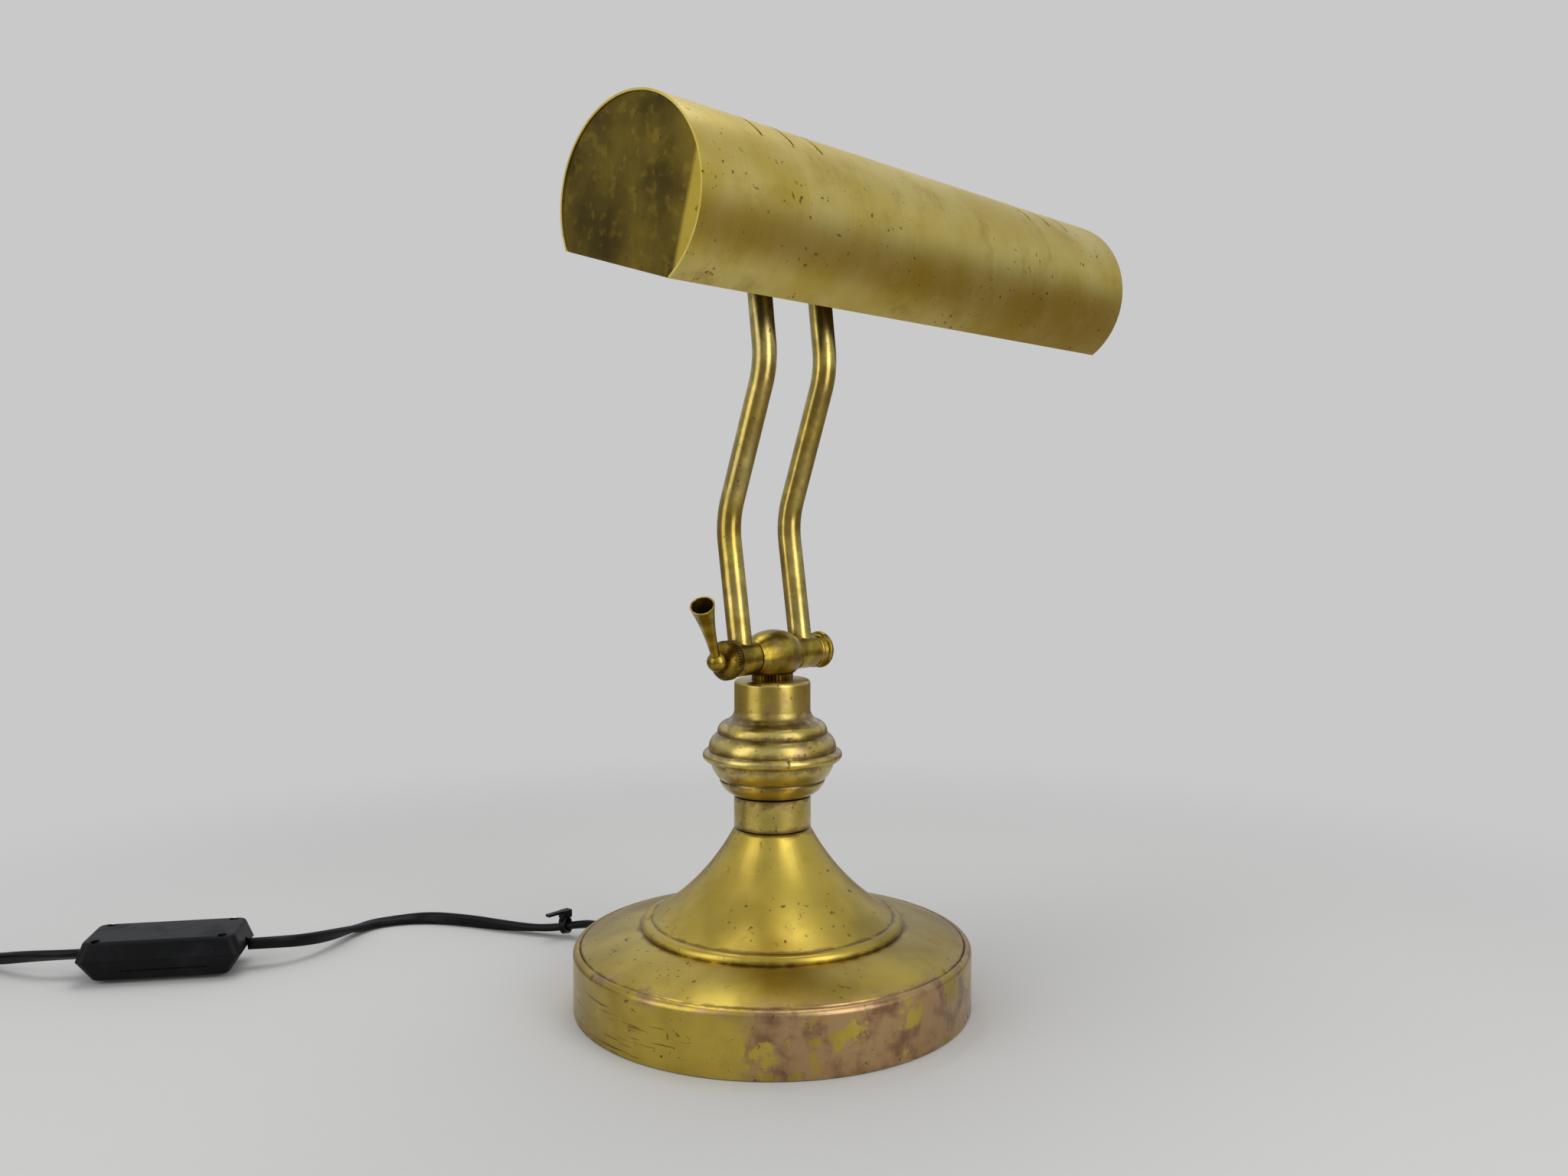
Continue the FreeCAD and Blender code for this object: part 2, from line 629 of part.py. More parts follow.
def tilt_nut():
    centre = tilt_centre()
    reach = BRIDGE_EAR_X + EAR_THICK * 1.5 + BODY_GAP + 0.4
    nut = along_x(hex_prism(7.0, 2.2, V(0, 0, 0)))
    nut = move(nut, centre + V(reach + 0.1, 0, 0))
    return nut.cut(rod(TILT_RADIUS + FACE_GAP, 8, centre + V(reach - 2, 0, 0), X_AXIS))


# Shade: drawn with its axis on X and its opening straight down, then rolled and lifted

def at_shade(shape):
    shape = turn(shape, V(0, 0, 0), X_AXIS, SHADE_ROLL)
    return move(shape, V(0, SHADE_Y, SHADE_Z))


def into_shade(point):
    """A place in the lamp's frame, as the shade's own drawing sees it."""
    angle = math.radians(SHADE_ROLL)
    y = point.y - SHADE_Y
    z = point.z - SHADE_Z
    return V(point.x, y * math.cos(angle) + z * math.sin(angle), z * math.cos(angle) - y * math.sin(angle))


def round_point(radius, degrees, x):
    """A point on a circle about X; 0 degrees is the top and the angle grows towards the front."""
    angle = math.radians(degrees)
    return V(x, -radius * math.sin(angle), radius * math.cos(angle))


def bent_sheet(outer, inner, half_arc, x, length):
    """A cylinder wall of the given half angle either side of the top."""
    steps = [(round_point(outer, 0, x), round_point(outer, -half_arc, x)), round_point(inner, -half_arc, x),
             (round_point(inner, 0, x), round_point(inner, half_arc, x))]
    start = round_point(outer, half_arc, x)
    edges = edges_through(start, steps)
    edges.append(Part.LineSegment(edges[-1].valueAt(edges[-1].LastParameter), start).toShape())
    return Part.Face(Part.Wire(edges)).extrude(V(length, 0, 0))


def shade_body():
    sheet = bent_sheet(SHADE_RADIUS, SHADE_INNER, SHADE_HALF_ARC, SHADE_LEFT, SHADE_LENGTH)
    for k in range(SLIT_COUNT):
        offset = SLIT_FIRST + k * SLIT_PITCH
        for x in (SHADE_LEFT + offset, SHADE_RIGHT - offset):
            left = x - SLIT_WIDTH / 2
            slit = bent_sheet(SHADE_RADIUS + 2, SHADE_INNER - 2, SLIT_HALF_ARC, left, SLIT_WIDTH)
            sheet = sheet.cut(slit)
    return solid(at_shade(sheet))


def shade_cap(side):
    """D-shaped end plate with a curved flange inside the shade's end."""
    outer = SHADE_INNER - FACE_GAP
    chord = SHADE_RADIUS * math.cos(math.radians(SHADE_HALF_ARC))
    half_arc = math.degrees(math.acos(chord / outer))
    face_x = SHADE_LEFT + CAP_INSET if side < 0 else SHADE_RIGHT - CAP_INSET - CAP_SHEET
    flange_x = face_x if side < 0 else face_x + CAP_SHEET - CAP_FLANGE
    start = round_point(outer, half_arc, face_x)
    end = round_point(outer, -half_arc, face_x)
    edges = edges_through(start, [(round_point(outer, 0, face_x), end), start])
    plate = Part.Face(Part.Wire(edges)).extrude(V(CAP_SHEET, 0, 0))
    flange = bent_sheet(outer, outer - CAP_SHEET, half_arc - 1.0, flange_x, CAP_FLANGE)
    return solid(at_shade(plate.fuse(flange).removeSplitter()))


def shade_saddle():
    """Strip under the roof of the shade, with two ears for the tilt bolt and the holder's plate."""
    centre = into_shade(tilt_centre())
    roof = math.sqrt(SHADE_INNER ** 2 - (SADDLE_WIDTH / 2) ** 2) - 0.1
    ear_x = BRIDGE_EAR_X + EAR_THICK + BODY_GAP
    left = -ear_x - EAR_THICK / 2
    right = HOLDER_START
    corner = V(left, -SADDLE_WIDTH / 2, roof - SADDLE_THICK)
    strip = Part.makeBox(right - left, SADDLE_WIDTH, SADDLE_THICK, corner)
    for side in (-1, 1):
        x = side * ear_x - EAR_THICK / 2
        ear = rod(EAR_RADIUS, EAR_THICK, V(x, centre.y, centre.z), X_AXIS)
        height = roof - SADDLE_THICK / 2 - centre.z
        leg = Part.makeBox(EAR_THICK, 2 * EAR_RADIUS, height, V(x, centre.y - EAR_RADIUS, centre.z))
        strip = strip.fuse(ear).fuse(leg)
    drop = Part.makeBox(SADDLE_THICK, SADDLE_WIDTH, roof, V(right - SADDLE_THICK, -SADDLE_WIDTH / 2, 0))
    disc = rod(SADDLE_WIDTH / 2, SADDLE_THICK, V(right - SADDLE_THICK, 0, 0), X_AXIS)
    strip = strip.fuse(drop).fuse(disc)
    strip = strip.cut(rod(TILT_RADIUS + RUN_GAP, THROUGH * 0.67, V(-THROUGH / 3, centre.y, centre.z), X_AXIS))
    strip = strip.cut(rod(3.2, 10, V(right - 5, 0, 0), X_AXIS))
    return solid(at_shade(strip.removeSplitter()))


def lampholder():
    """Moulded holder: a stepped barrel with the thread socket open towards the bulb."""
    r = HOLDER_RADIUS
    length = HOLDER_LENGTH
    body = turned((0, 0), (7.5, 0), (7.5, 4), (r - 2.5, 6.5), (r - 2.5, 16), (r, 18), (r, length - 1),
                  (r - 1, length), (r - HOLDER_WALL, length), (r - HOLDER_WALL, 9), (0, 9))
    body = body.cut(rod(3.0, 12, V(0, 0, -1)))
    return solid(at_shade(move(along_x(body), V(HOLDER_START + FACE_GAP, 0, 0))))


def socket_sleeve():
    """Brass thread sleeve inside the holder that the bulb screws into."""
    start = HOLDER_START + 10
    outer = HOLDER_RADIUS - HOLDER_WALL - 0.4
    sleeve = tube(outer, BULB_CAP_RADIUS + 0.3, HOLDER_LENGTH - 13, V(start, 0, 0), X_AXIS)
    return at_shade(sleeve)


def bulb_cap():
    start = HOLDER_START + 10.5
    body = turned((0, 0), (3.0, 0), (5.0, 2.4), (BULB_CAP_RADIUS, 3.4), (BULB_CAP_RADIUS, BULB_CAP_LENGTH),
                  (0, BULB_CAP_LENGTH))
    return at_shade(move(along_x(body), V(start, 0, 0)))


def bulb_glass():
    """Tubular glass, drawn in at the cap and round at the far end."""
    start = HOLDER_START + 10.5 + BULB_CAP_LENGTH + FACE_GAP
    neck = BULB_CAP_RADIUS - 0.2
    r = BULB_RADIUS
    length = BULB_LENGTH
    root = math.sqrt(0.5)
    wall = BULB_WALL
    inner = r - wall
    body = turned((neck - wall, 0), (neck, 0), (neck + 0.3, 2), ((r - 1.6, 6.5), (r, 13)), (r, length - r),
                  ((r * root, length - r + r * root), (0, length)), (0, length - wall),
                  ((inner * root, length - r + inner * root), (inner, length - r)), (inner, 13),
                  ((inner - 1.6, 6.5 + wall / 2), (neck + 0.3 - wall, 2)))
    return at_shade(move(along_x(body), V(start, 0, 0)))


# Flex inside the lamp

def column_flex():
    """From the bush across the base, through the rod's slot and up to its top."""
    start = BASE_RADIUS - SHEET - 1.0 - FACE_GAP
    points = [V(0, start, EXIT_HEIGHT), V(0, start - 16, EXIT_HEIGHT), V(0, start * 0.4, FLEX_ENTRY),
              V(0, 0, FLEX_ENTRY), V(0, 0, ROD_TOP - 2)]
    return swept(rounded(points, [20, 40, 3.0]), FLEX_RADIUS)


def arm_flex():
    """The flex inside the right arm, from the knuckle to the nipple."""
    edges = arm_path(ARM_X, arm_start() + 2)
    return swept(edges, FLEX_RADIUS)


# Cord: round tube of the flat twin flex's width, on hand-chosen points

ROUTE_TO_SWITCH = [
    (0.0, 102.0, 8.6), (0.0, 110.5, 8.6), (-2.6, 120.0, 7.0), (-9.0, 133.0, 4.2), (-18.5, 153.0, 2.9),
    (-27.0, 176.0, 2.9), (-37.5, 194.5, 2.9), (-54.0, 204.5, 2.9), (-70.6, 200.7, 3.9), (-85.2, 191.9, 6.2),
    (-101.3, 186.4, 9.0),
]
ROUTE_TO_COIL = [(-190.5, 257.0, 8.6), (-196.0, 274.0, 5.0)]
SWITCH_RUN = 11.0
COIL_RUN = 13.0
TAIL_RUN = 13.4
# The tail is in the coil's own drawing: from the top turn, down beside the coil, to the plug
TAIL_ROUTE = [(32.0, 37.0, 9.0), (22.5, 49.5, 8.3), (10.0, 57.5, 6.9), (-3.0, 60.5, 6.9)]


def switch_heading():
    """The switch's long direction, towards the lamp."""
    angle = math.radians(SWITCH_TURN)
    return V(math.cos(angle), math.sin(angle), 0)


def switch_end(side):
    """Centre of the cord entry at one end of the switch; side 1 faces the lamp."""
    return V(SWITCH_X, SWITCH_Y, SWITCH_SEAM) + switch_heading() * (side * SWITCH_LENGTH / 2)


def cord_runs(points):
    """Straight runs joined by arcs as large as the two runs allow; returns edges and radii."""
    radii = []
    for before, corner, after in zip(points, points[1:], points[2:]):
        shorter = min((corner - before).Length, (after - corner).Length)
        half = (corner - before).getAngle(after - corner) / 2
        radii.append(0.45 * shorter / math.tan(half))
    return rounded(points, radii), radii


def report_cord(name, edges, radii, shape):
    length = sum(edge.Length for edge in edges)
    ratio = shape.Volume / (math.pi * CORD_RADIUS ** 2 * length)
    tight = min(radii) if radii else 0
    print("%s: length %.1f mm, tightest bend %.1f mm, volume ratio %.4f" % (name, length, tight, ratio))
    if radii:
        print("   radii:", " ".join("%.0f" % r for r in radii))


def cord_to_switch():
    end = switch_end(1)
    points = [V(*p) for p in ROUTE_TO_SWITCH] + [end + switch_heading() * SWITCH_RUN, end]
    edges, radii = cord_runs(points)
    shape = swept(edges, CORD_RADIUS)
    report_cord("cord_to_switch", edges, radii, shape)
    return shape


def coil_place(x, y, z):
    """A point of the coil's own drawing, turned and set down where the coil lies."""
    angle = math.radians(COIL_TURN)
    return V(COIL_X + x * math.cos(angle) - y * math.sin(angle),
             COIL_Y + x * math.sin(angle) + y * math.cos(angle), z)


def arc_from_corner(start, corner, end):
    """Arc tangent to both legs of a corner with equal legs."""
    middle = (start + end) * 0.5
    sag = (corner - middle).Length
    leg = (corner - start).Length
    radius = (start - middle).Length * leg / sag
    through = corner + (middle - corner) * ((math.sqrt(radius ** 2 + leg ** 2) - radius) / sag)
    return Part.Arc(start, through, end).toShape()


def biarc(start, heading, end, leaving):
    """Two arcs from start to end that keep both headings."""
    span = end - start
    both = heading + leaving
    spread = 2 * (1 - heading.dot(leaving))
    along = span.dot(both)
    leg = (math.sqrt(along ** 2 + spread * span.dot(span)) - along) / spread
    first = start + heading * leg
    second = end - leaving * leg
    joint = (first + second) * 0.5
    return [arc_from_corner(start, first, joint), arc_from_corner(joint, second, end)]


def coil_path():
    """Spiral in on the table, up a layer in the innermost half turn, and out again on top."""
    low = CORD_LIE
    high = low + COIL_PITCH
    step = COIL_PITCH / 2
    lead = 2 * CORD_RADIUS + 2
    x = COIL_OUTER
    heading = 1
    edges = [Part.LineSegment(coil_place(x, -lead, low), coil_place(x, 0, low)).toShape()]
    inward = [COIL_OUTER - k * step for k in range(COIL_LOW_HALVES)]
    smallest = COIL_OUTER - COIL_LOW_HALVES * step
    outward = [smallest + (k + 1) * step for k in range(COIL_HIGH_HALVES)]
    halves = [(r, low, low) for r in inward] + [(smallest, low, high)] + [(r, high, high) for r in outward]
    for radius, z_from, z_to in halves:
        across = -2 * radius * heading
        begin = coil_place(x, 0, z_from)
        finish = coil_place(x + across, 0, z_to)
        go = (coil_place(0, heading, 0) - coil_place(0, 0, 0)).normalize()
        edges += biarc(begin, go, finish, go * -1)
        x += across
        heading = -heading
    edges.append(Part.LineSegment(coil_place(x, 0, high), coil_place(x, lead, high)).toShape())
    return edges


def least_gap(edges):
    """Smallest clear space between stretches of a tube that aren't neighbours along it."""
    points = []
    travelled = 0.0
    for edge in edges:
        count = max(2, int(edge.Length / 3))
        for k in range(count):
            t = edge.FirstParameter + (edge.LastParameter - edge.FirstParameter) * k / count
            points.append((travelled + edge.Length * k / count, edge.valueAt(t)))
        travelled += edge.Length
    least = 1e9
    apart = 8 * CORD_RADIUS
    for i, (s, p) in enumerate(points):
        for t, q in points[i + 1:]:
            if t - s > apart:
                least = min(least, (p - q).Length)
    return least - 2 * CORD_RADIUS


def cord_coil():
    edges = coil_path()
    shape = swept(edges, CORD_RADIUS)
    print("cord_coil: least gap %.2f mm" % least_gap(edges))
    report_cord("cord_coil", edges, [], shape)
    return shape


def coil_heading():
    """Direction in which the cord runs into the coil and out of it again."""
    return (coil_place(0, 1, 0) - coil_place(0, 0, 0)).normalize()


def coil_end(which):
    edge = coil_path()[0 if which == "start" else -1]
    return edge.valueAt(edge.FirstParameter if which == "start" else edge.LastParameter)


def cord_to_coil():
    start = switch_end(-1)
    end = coil_end("start")
    points = [start, start - switch_heading() * SWITCH_RUN] + [V(*p) for p in ROUTE_TO_COIL]
    points += [end - coil_heading() * COIL_RUN, end]
    edges, radii = cord_runs(points)
    shape = swept(edges, CORD_RADIUS)
    report_cord("cord_to_coil", edges, radii, shape)
    return shape


def tail_points():
    """From the end of the top turn down to the height of the plug's own sleeve."""
    start = coil_end("end")
    return [start, start + coil_heading() * TAIL_RUN] + [coil_place(*p) for p in TAIL_ROUTE]


def cord_tail():
    edges, radii = cord_runs(tail_points())
    shape = swept(edges, CORD_RADIUS)
    report_cord("cord_tail", edges, radii, shape)
    return shape


def strain_relief():
    """Tapered sleeve that the cord leaves the base through."""
    length = ROUTE_TO_SWITCH[0][1] - GROMMET_FACE
    cone = turned((0, 0), (RELIEF_ROOT, 0), (RELIEF_TIP, length), (0, length))
    cone = turn(cone, V(0, 0, 0), X_AXIS, -90)
    return move(cone, V(0, GROMMET_FACE, EXIT_HEIGHT))


def cord_grommet():
    """Flanged bush in the skirt's hole."""
    foot = V(0, BASE_RADIUS - SHEET - 1.0, EXIT_HEIGHT)
    body = rod(GROMMET_RADIUS - 1.2 - FACE_GAP, GROMMET_FACE - foot.y, foot, Y_AXIS)
    flange = rod(GROMMET_RADIUS, 0.9, V(0, GROMMET_FACE - 0.9, EXIT_HEIGHT), Y_AXIS)
    return solid(body.fuse(flange).removeSplitter())


def cable_tie():
    """Nylon tie round the cord just outside the sleeve, with its cut tail standing up."""
    here = V(*ROUTE_TO_SWITCH[2])
    lean = (V(*ROUTE_TO_SWITCH[3]) - here).normalize()
    here = here + lean * 4.0
    band = tube(CORD_RADIUS + 1.3, CORD_RADIUS + 0.35, 3.0, here, lean)
    head = slab(5.0, 3.6, 3.4, here + lean * 1.5 + V(0, 0, CORD_RADIUS + 2.4))
    tail = slab(9.0, 2.6, 1.1, here + lean * 1.5 + V(-6.0, 0, CORD_RADIUS + 3.6))
    tie = band.fuse(head).fuse(tail)
    return solid(tie.cut(rod(CORD_RADIUS + 0.3, 30, here - lean * 10, lean)).removeSplitter())


# Inline switch, lying with its screws up and its rocker down

def at_switch(shape):
    shape = turn(shape, V(0, 0, 0), Z_AXIS, SWITCH_TURN)
    return move(shape, V(SWITCH_X, SWITCH_Y, 0))


def switch_block(z_wide, z_small, inset, corner):
    """Half of the switch as a tapered block with rounded edges."""
    def outline(z, trim):
        u = SWITCH_LENGTH / 2 - trim
        v = SWITCH_WIDTH / 2 - trim * 0.45
        points = [V(-u, -v, z), V(u, -v, z), V(u, v, z), V(-u, v, z), V(-u, -v, z)]
        return Part.makePolygon(points)
    block = Part.makeLoft([outline(z_wide, 0), outline(z_small, inset)], True, True)
    ends = [e for e in block.Edges if abs(e.BoundBox.ZMax - e.BoundBox.ZMin) > abs(z_wide - z_small) * 0.9]
    block = block.makeFillet(corner, ends)
    rims = [e for e in block.Edges
            if abs(e.BoundBox.ZMax - z_small) < 0.01 and abs(e.BoundBox.ZMin - z_small) < 0.01]
    return block.makeFillet(1.6, rims)


def switch_cord_way():
    return rod(CORD_RADIUS + 0.05, SWITCH_LENGTH + 4, V(-SWITCH_LENGTH / 2 - 2, 0, SWITCH_SEAM), X_AXIS)


def switch_hollow(z_low, z_high):
    return slab(SWITCH_LENGTH - 22, SWITCH_WIDTH - 10.0, z_high - z_low, V(0, 0, (z_low + z_high) / 2))


def screw_places():
    return [V(u * SWITCH_SCREW_U, v * SWITCH_SCREW_V, 0) for u in (-1, 1) for v in (-1, 1)]


def switch_back():
    """Screw side, on top as it lies."""
    block = switch_block(SWITCH_SEAM + FACE_GAP, SWITCH_TOP, SWITCH_TOP_INSET, 4.0)
    block = block.cut(switch_hollow(SWITCH_SEAM - 1, SWITCH_TOP - SWITCH_WALL))
    block = block.cut(switch_cord_way())
    for place in screw_places():
        block = block.cut(rod(SWITCH_SCREW_RADIUS, 4.0, place + V(0, 0, SWITCH_TOP - 3.4)))
        block = block.cut(rod(1.2, 12.0, place + V(0, 0, SWITCH_SEAM - 1)))
    return solid(at_switch(block))


def switch_front():
    """Rocker side, underneath as it lies, with a thin recess along each flank."""
    block = switch_block(SWITCH_SEAM - FACE_GAP, SWITCH_FOOT, SWITCH_FOOT_INSET, 4.0)
    block = block.cut(switch_hollow(SWITCH_FOOT + SWITCH_WALL, SWITCH_SEAM + 1))
    block = block.cut(switch_cord_way())
    opening = slab(ROCKER_LENGTH + 0.8, ROCKER_WIDTH + 0.8, 8, V(0, 0, SWITCH_FOOT))
    block = block.cut(opening).cut(pin_rod(ROCKER_PIN_RADIUS + FACE_GAP))
    for side in (-1, 1):
        groove = slab(34, 2.0, 0.8, V(2, side * (SWITCH_WIDTH / 2 - 1.1), (SWITCH_SEAM + SWITCH_FOOT) / 2))
        block = block.cut(groove)
    for place in screw_places():
        block = block.cut(rod(1.2, 6.0, place + V(0, 0, SWITCH_SEAM - 4.0)))
    return solid(at_switch(block))


def switch_screws():
    """Four screws sunk in the holes of the back."""
    screws = []
    for place in screw_places():
        head = rod(SWITCH_SCREW_RADIUS - 0.15, 1.4, place + V(0, 0, SWITCH_TOP - 3.4 + FACE_GAP))
        shank = rod(1.15, SWITCH_TOP - 3.4 - SWITCH_SEAM + 3.4, place + V(0, 0, SWITCH_SEAM - 3.3))
        slot = slab(4.0, 0.5, 0.8, place + V(0, 0, SWITCH_TOP - 2.0))
        screws.append(solid(at_switch(head.fuse(shank).cut(slot).removeSplitter())))
    return Part.makeCompound(screws)


def rocker_pivot_height():
    return SWITCH_FOOT + 3.6


def switch_rocker():
    """Rocker on a cross pin; its two faces slope a little from the middle."""
    half = ROCKER_LENGTH / 2
    low = 0.25
    high = SWITCH_FOOT + 4.6
    points = [V(-half, 0, low + 1.2), V(0, 0, low), V(half, 0, low + 1.2), V(half, 0, high - 2),
              V(3, 0, high), V(-3, 0, high), V(-half, 0, high - 2), V(-half, 0, low + 1.2)]
    face = Part.Face(Part.makePolygon([p + V(0, -ROCKER_WIDTH / 2, 0) for p in points]))
    body = face.extrude(V(0, ROCKER_WIDTH, 0))
    body = turn(body, V(0, 0, rocker_pivot_height()), Y_AXIS, -ROCKER_TILT)
    return solid(at_switch(body.cut(pin_rod(ROCKER_PIN_RADIUS + RUN_GAP))))


def pin_rod(radius):
    """The rocker's cross pin, which reaches into both walls of the front half."""
    length = SWITCH_WIDTH - 7.0
    return rod(radius, length, V(0, -length / 2, rocker_pivot_height()), Y_AXIS)


def rocker_pin():
    return at_switch(pin_rod(ROCKER_PIN_RADIUS))


# Plug, flat two-pin, lying beside the coil

def at_plug(shape):
    before, end = tail_points()[-2:]
    go = V(end.x - before.x, end.y - before.y, 0).normalize()
    shape = turn(shape, V(0, 0, 0), Z_AXIS, math.degrees(math.atan2(go.y, go.x)))
    return move(shape, end)


def plug_body():
    """Moulded body: a ribless sleeve that widens to the flat head."""
    def section(x, width, height):
        y = width / 2
        z = height / 2
        return Part.makePolygon([V(x, -y, -z), V(x, y, -z), V(x, y, z), V(x, -y, z), V(x, -y, -z)])
    sleeve = Part.makeLoft([section(0, 7.4, 7.0), section(13, 12, 10)], True, True)
    neck = Part.makeLoft([section(13, 12, 10), section(20, PLUG_WIDTH, PLUG_HEIGHT)], True, True)
    head = Part.makeBox(PLUG_LENGTH - 20, PLUG_WIDTH, PLUG_HEIGHT, V(20, -PLUG_WIDTH / 2, -PLUG_HEIGHT / 2))
    body = sleeve.fuse(neck).fuse(head).removeSplitter()
    for side in (-1, 1):
        body = body.cut(rod(PIN_RADIUS, 12, V(PLUG_LENGTH - 11, side * PIN_SPACING / 2, 0), X_AXIS))
    return solid(at_plug(body))


def plug_pins():
    pins = []
    for side in (-1, 1):
        seat = V(PLUG_LENGTH - PIN_SEAT, side * PIN_SPACING / 2, 0)
        pin = rod(PIN_RADIUS, PIN_LENGTH + PIN_SEAT, seat, X_AXIS)
        pins.append(at_plug(pin))
    return Part.makeCompound(pins)


NODES = {
    "base_shell": base_shell, "base_weight": base_weight, "base_cover": base_cover, "felt_pad": felt_pad,
    "weight_spider": weight_spider, "rod_nut": rod_nut, "cover_nut": cover_nut, "threaded_rod": threaded_rod,
    "collar_seat": collar_seat, "column_collar": column_collar, "bulb_lower_cup": bulb_lower_cup,
    "bulb_upper_dome": bulb_upper_dome, "locknut": locknut, "pivot_barrel": pivot_barrel,
    "friction_washers": friction_washers, "left_knuckle": lambda: arm_knuckle(-1),
    "right_knuckle": lambda: arm_knuckle(1), "left_arm_tube": lambda: arm_tube(-1),
    "right_arm_tube": lambda: arm_tube(1), "pivot_washer": pivot_washer, "end_cap": end_cap,
    "clamp_screw": clamp_screw, "knurled_head": knurled_head, "clamp_lever": clamp_lever,
    "arm_bridge": arm_bridge, "arm_nipples": arm_nipples, "arm_top_nuts": arm_top_nuts,
    "tilt_bolt": tilt_bolt, "tilt_nut": tilt_nut, "shade_body": shade_body,
    "shade_left_cap": lambda: shade_cap(-1), "shade_right_cap": lambda: shade_cap(1),
    "shade_saddle": shade_saddle, "lampholder": lampholder, "socket_sleeve": socket_sleeve,
    "bulb_cap": bulb_cap, "bulb_glass": bulb_glass, "column_flex": column_flex,
    "arm_flex": arm_flex, "strain_relief": strain_relief, "cord_grommet": cord_grommet,
    "cable_tie": cable_tie, "cord_to_switch": cord_to_switch, "cord_to_coil": cord_to_coil,
    "cord_coil": cord_coil, "cord_tail": cord_tail, "switch_back": switch_back,
    "switch_front": switch_front, "switch_screws": switch_screws, "switch_rocker": switch_rocker,
    "rocker_pin": rocker_pin, "plug_body": plug_body, "plug_pins": plug_pins,
}


def main():
    os.makedirs("parts", exist_ok=True)
    for name, make in NODES.items():
        shape = make()
        box = shape.BoundBox
        print("%-18s solids %d volume %9.1f valid %s  x %7.1f %7.1f  y %7.1f %7.1f  z %6.1f %6.1f" % (
            name, len(shape.Solids), shape.Volume, shape.isValid(),
            box.XMin, box.XMax, box.YMin, box.YMax, box.ZMin, box.ZMax))
        shape.exportStep("parts/%s.step" % name)


main()
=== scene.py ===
import math

import bpy
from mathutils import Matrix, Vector


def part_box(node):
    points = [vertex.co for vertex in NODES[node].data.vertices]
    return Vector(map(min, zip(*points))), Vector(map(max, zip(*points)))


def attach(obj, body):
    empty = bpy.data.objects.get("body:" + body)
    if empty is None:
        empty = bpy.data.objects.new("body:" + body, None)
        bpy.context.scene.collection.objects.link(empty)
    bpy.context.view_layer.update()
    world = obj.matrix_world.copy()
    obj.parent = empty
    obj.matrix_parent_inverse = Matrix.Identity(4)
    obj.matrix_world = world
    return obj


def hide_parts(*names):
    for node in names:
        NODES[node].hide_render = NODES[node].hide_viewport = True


bl_info = {
    "name": "Brass piano lamp",
    "version": (1, 0, 0),
    "blender": (4, 5, 0),
    "location": "View3D > Sidebar > Piano lamp",
    "description": "Finishes, flat flex and small pieces of a brass piano lamp",
    "category": "Object",
}

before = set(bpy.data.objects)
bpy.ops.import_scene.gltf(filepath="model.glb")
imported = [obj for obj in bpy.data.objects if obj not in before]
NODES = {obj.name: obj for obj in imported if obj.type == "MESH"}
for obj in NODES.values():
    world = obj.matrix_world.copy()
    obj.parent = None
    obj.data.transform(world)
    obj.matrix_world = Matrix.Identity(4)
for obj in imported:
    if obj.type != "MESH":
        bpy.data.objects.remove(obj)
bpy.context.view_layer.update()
MM = 0.001


def linear(text):
    """An sRGB hex colour as linear red, green, blue and alpha."""
    channels = [int(text[i:i + 2], 16) / 255 for i in (1, 3, 5)]
    return [c / 12.92 if c <= 0.04045 else ((c + 0.055) / 1.055) ** 2.4 for c in channels] + [1.0]


def colour(name, text, description):
    """A colour property whose default is an sRGB hex value."""
    return bpy.props.FloatVectorProperty(name=name, description=description, subtype="COLOR", size=4,
                                         min=0.0, max=1.0, default=linear(text))


def length(name, millimetres, description):
    """A length property whose default is given in millimetres."""
    return bpy.props.FloatProperty(name=name, description=description, unit="LENGTH",
                                   default=millimetres * MM)


class LampFinish(bpy.types.PropertyGroup):
    """Colours of the brass, the plastics and the hidden steel"""
    brass: colour("Brass", "#C9B04A", "Olive-yellow brass where the old lacquer is whole")
    brass_pale: colour("Pale brass", "#DCC979", "Where handling has kept the brass bright")
    brass_deep: colour("Deep brass", "#9C8430", "Where the lacquer has gone brown-green")
    copper: colour("Copper blush", "#B18E6A", "Pink-brown blush where the brass has lost its zinc")
    bruise: colour("Bruise", "#74523A", "Purple-brown mottling inside the blush")
    oil: colour("Oil", "#46300F", "Brown oily film on the pivot")
    fleck: colour("Fleck", "#4E3A1D", "Brown spots of tarnish under the lacquer")
    patina: colour("Patina", "#3F3516", "Dark olive film on the end plates")
    # Colour of the grooves' dirt, and also of painted shade in their creases
    crevice_dirt_and_shade: colour("Crevice", "#4A2E12", "Old polish and dirt that gather in grooves")
    black: colour("Black", "#08090B", "Black PVC and moulded plastic")


class LampFlex(bpy.types.PropertyGroup):
    """Sizes of the flat twin flex"""
    width: length("Width", 5.6, "Across both wires")
    thickness: length("Thickness", 3.5, "Through one wire")
    tube: length("Route height", 2.9, "Height of the route over the table where the flex lies")


class LampStage(bpy.types.PropertyGroup):
    """Floor and camera"""
    floor: colour("Floor", "#C9C9CA", "Pale grey paper under and behind the lamp")
    eye: bpy.props.FloatVectorProperty(name="Eye", description="Place of the camera", unit="LENGTH",
                                       default=(-0.3957, -0.3540, 0.1976))
    look: bpy.props.FloatVectorProperty(name="Look", description="Direction of the camera",
                                        default=(0.7499, 0.6591, -0.0570))
    lens: bpy.props.FloatProperty(name="Lens", description="Focal length on a 36 mm wide sensor, in mm",
                                  default=30.55)


# Nodes and masks: a mask is a socket that goes from 0 to 1

# Sockets of the Mix node when it mixes colours
MIX_A, MIX_B, MIX_COLOUR = 6, 7, 2


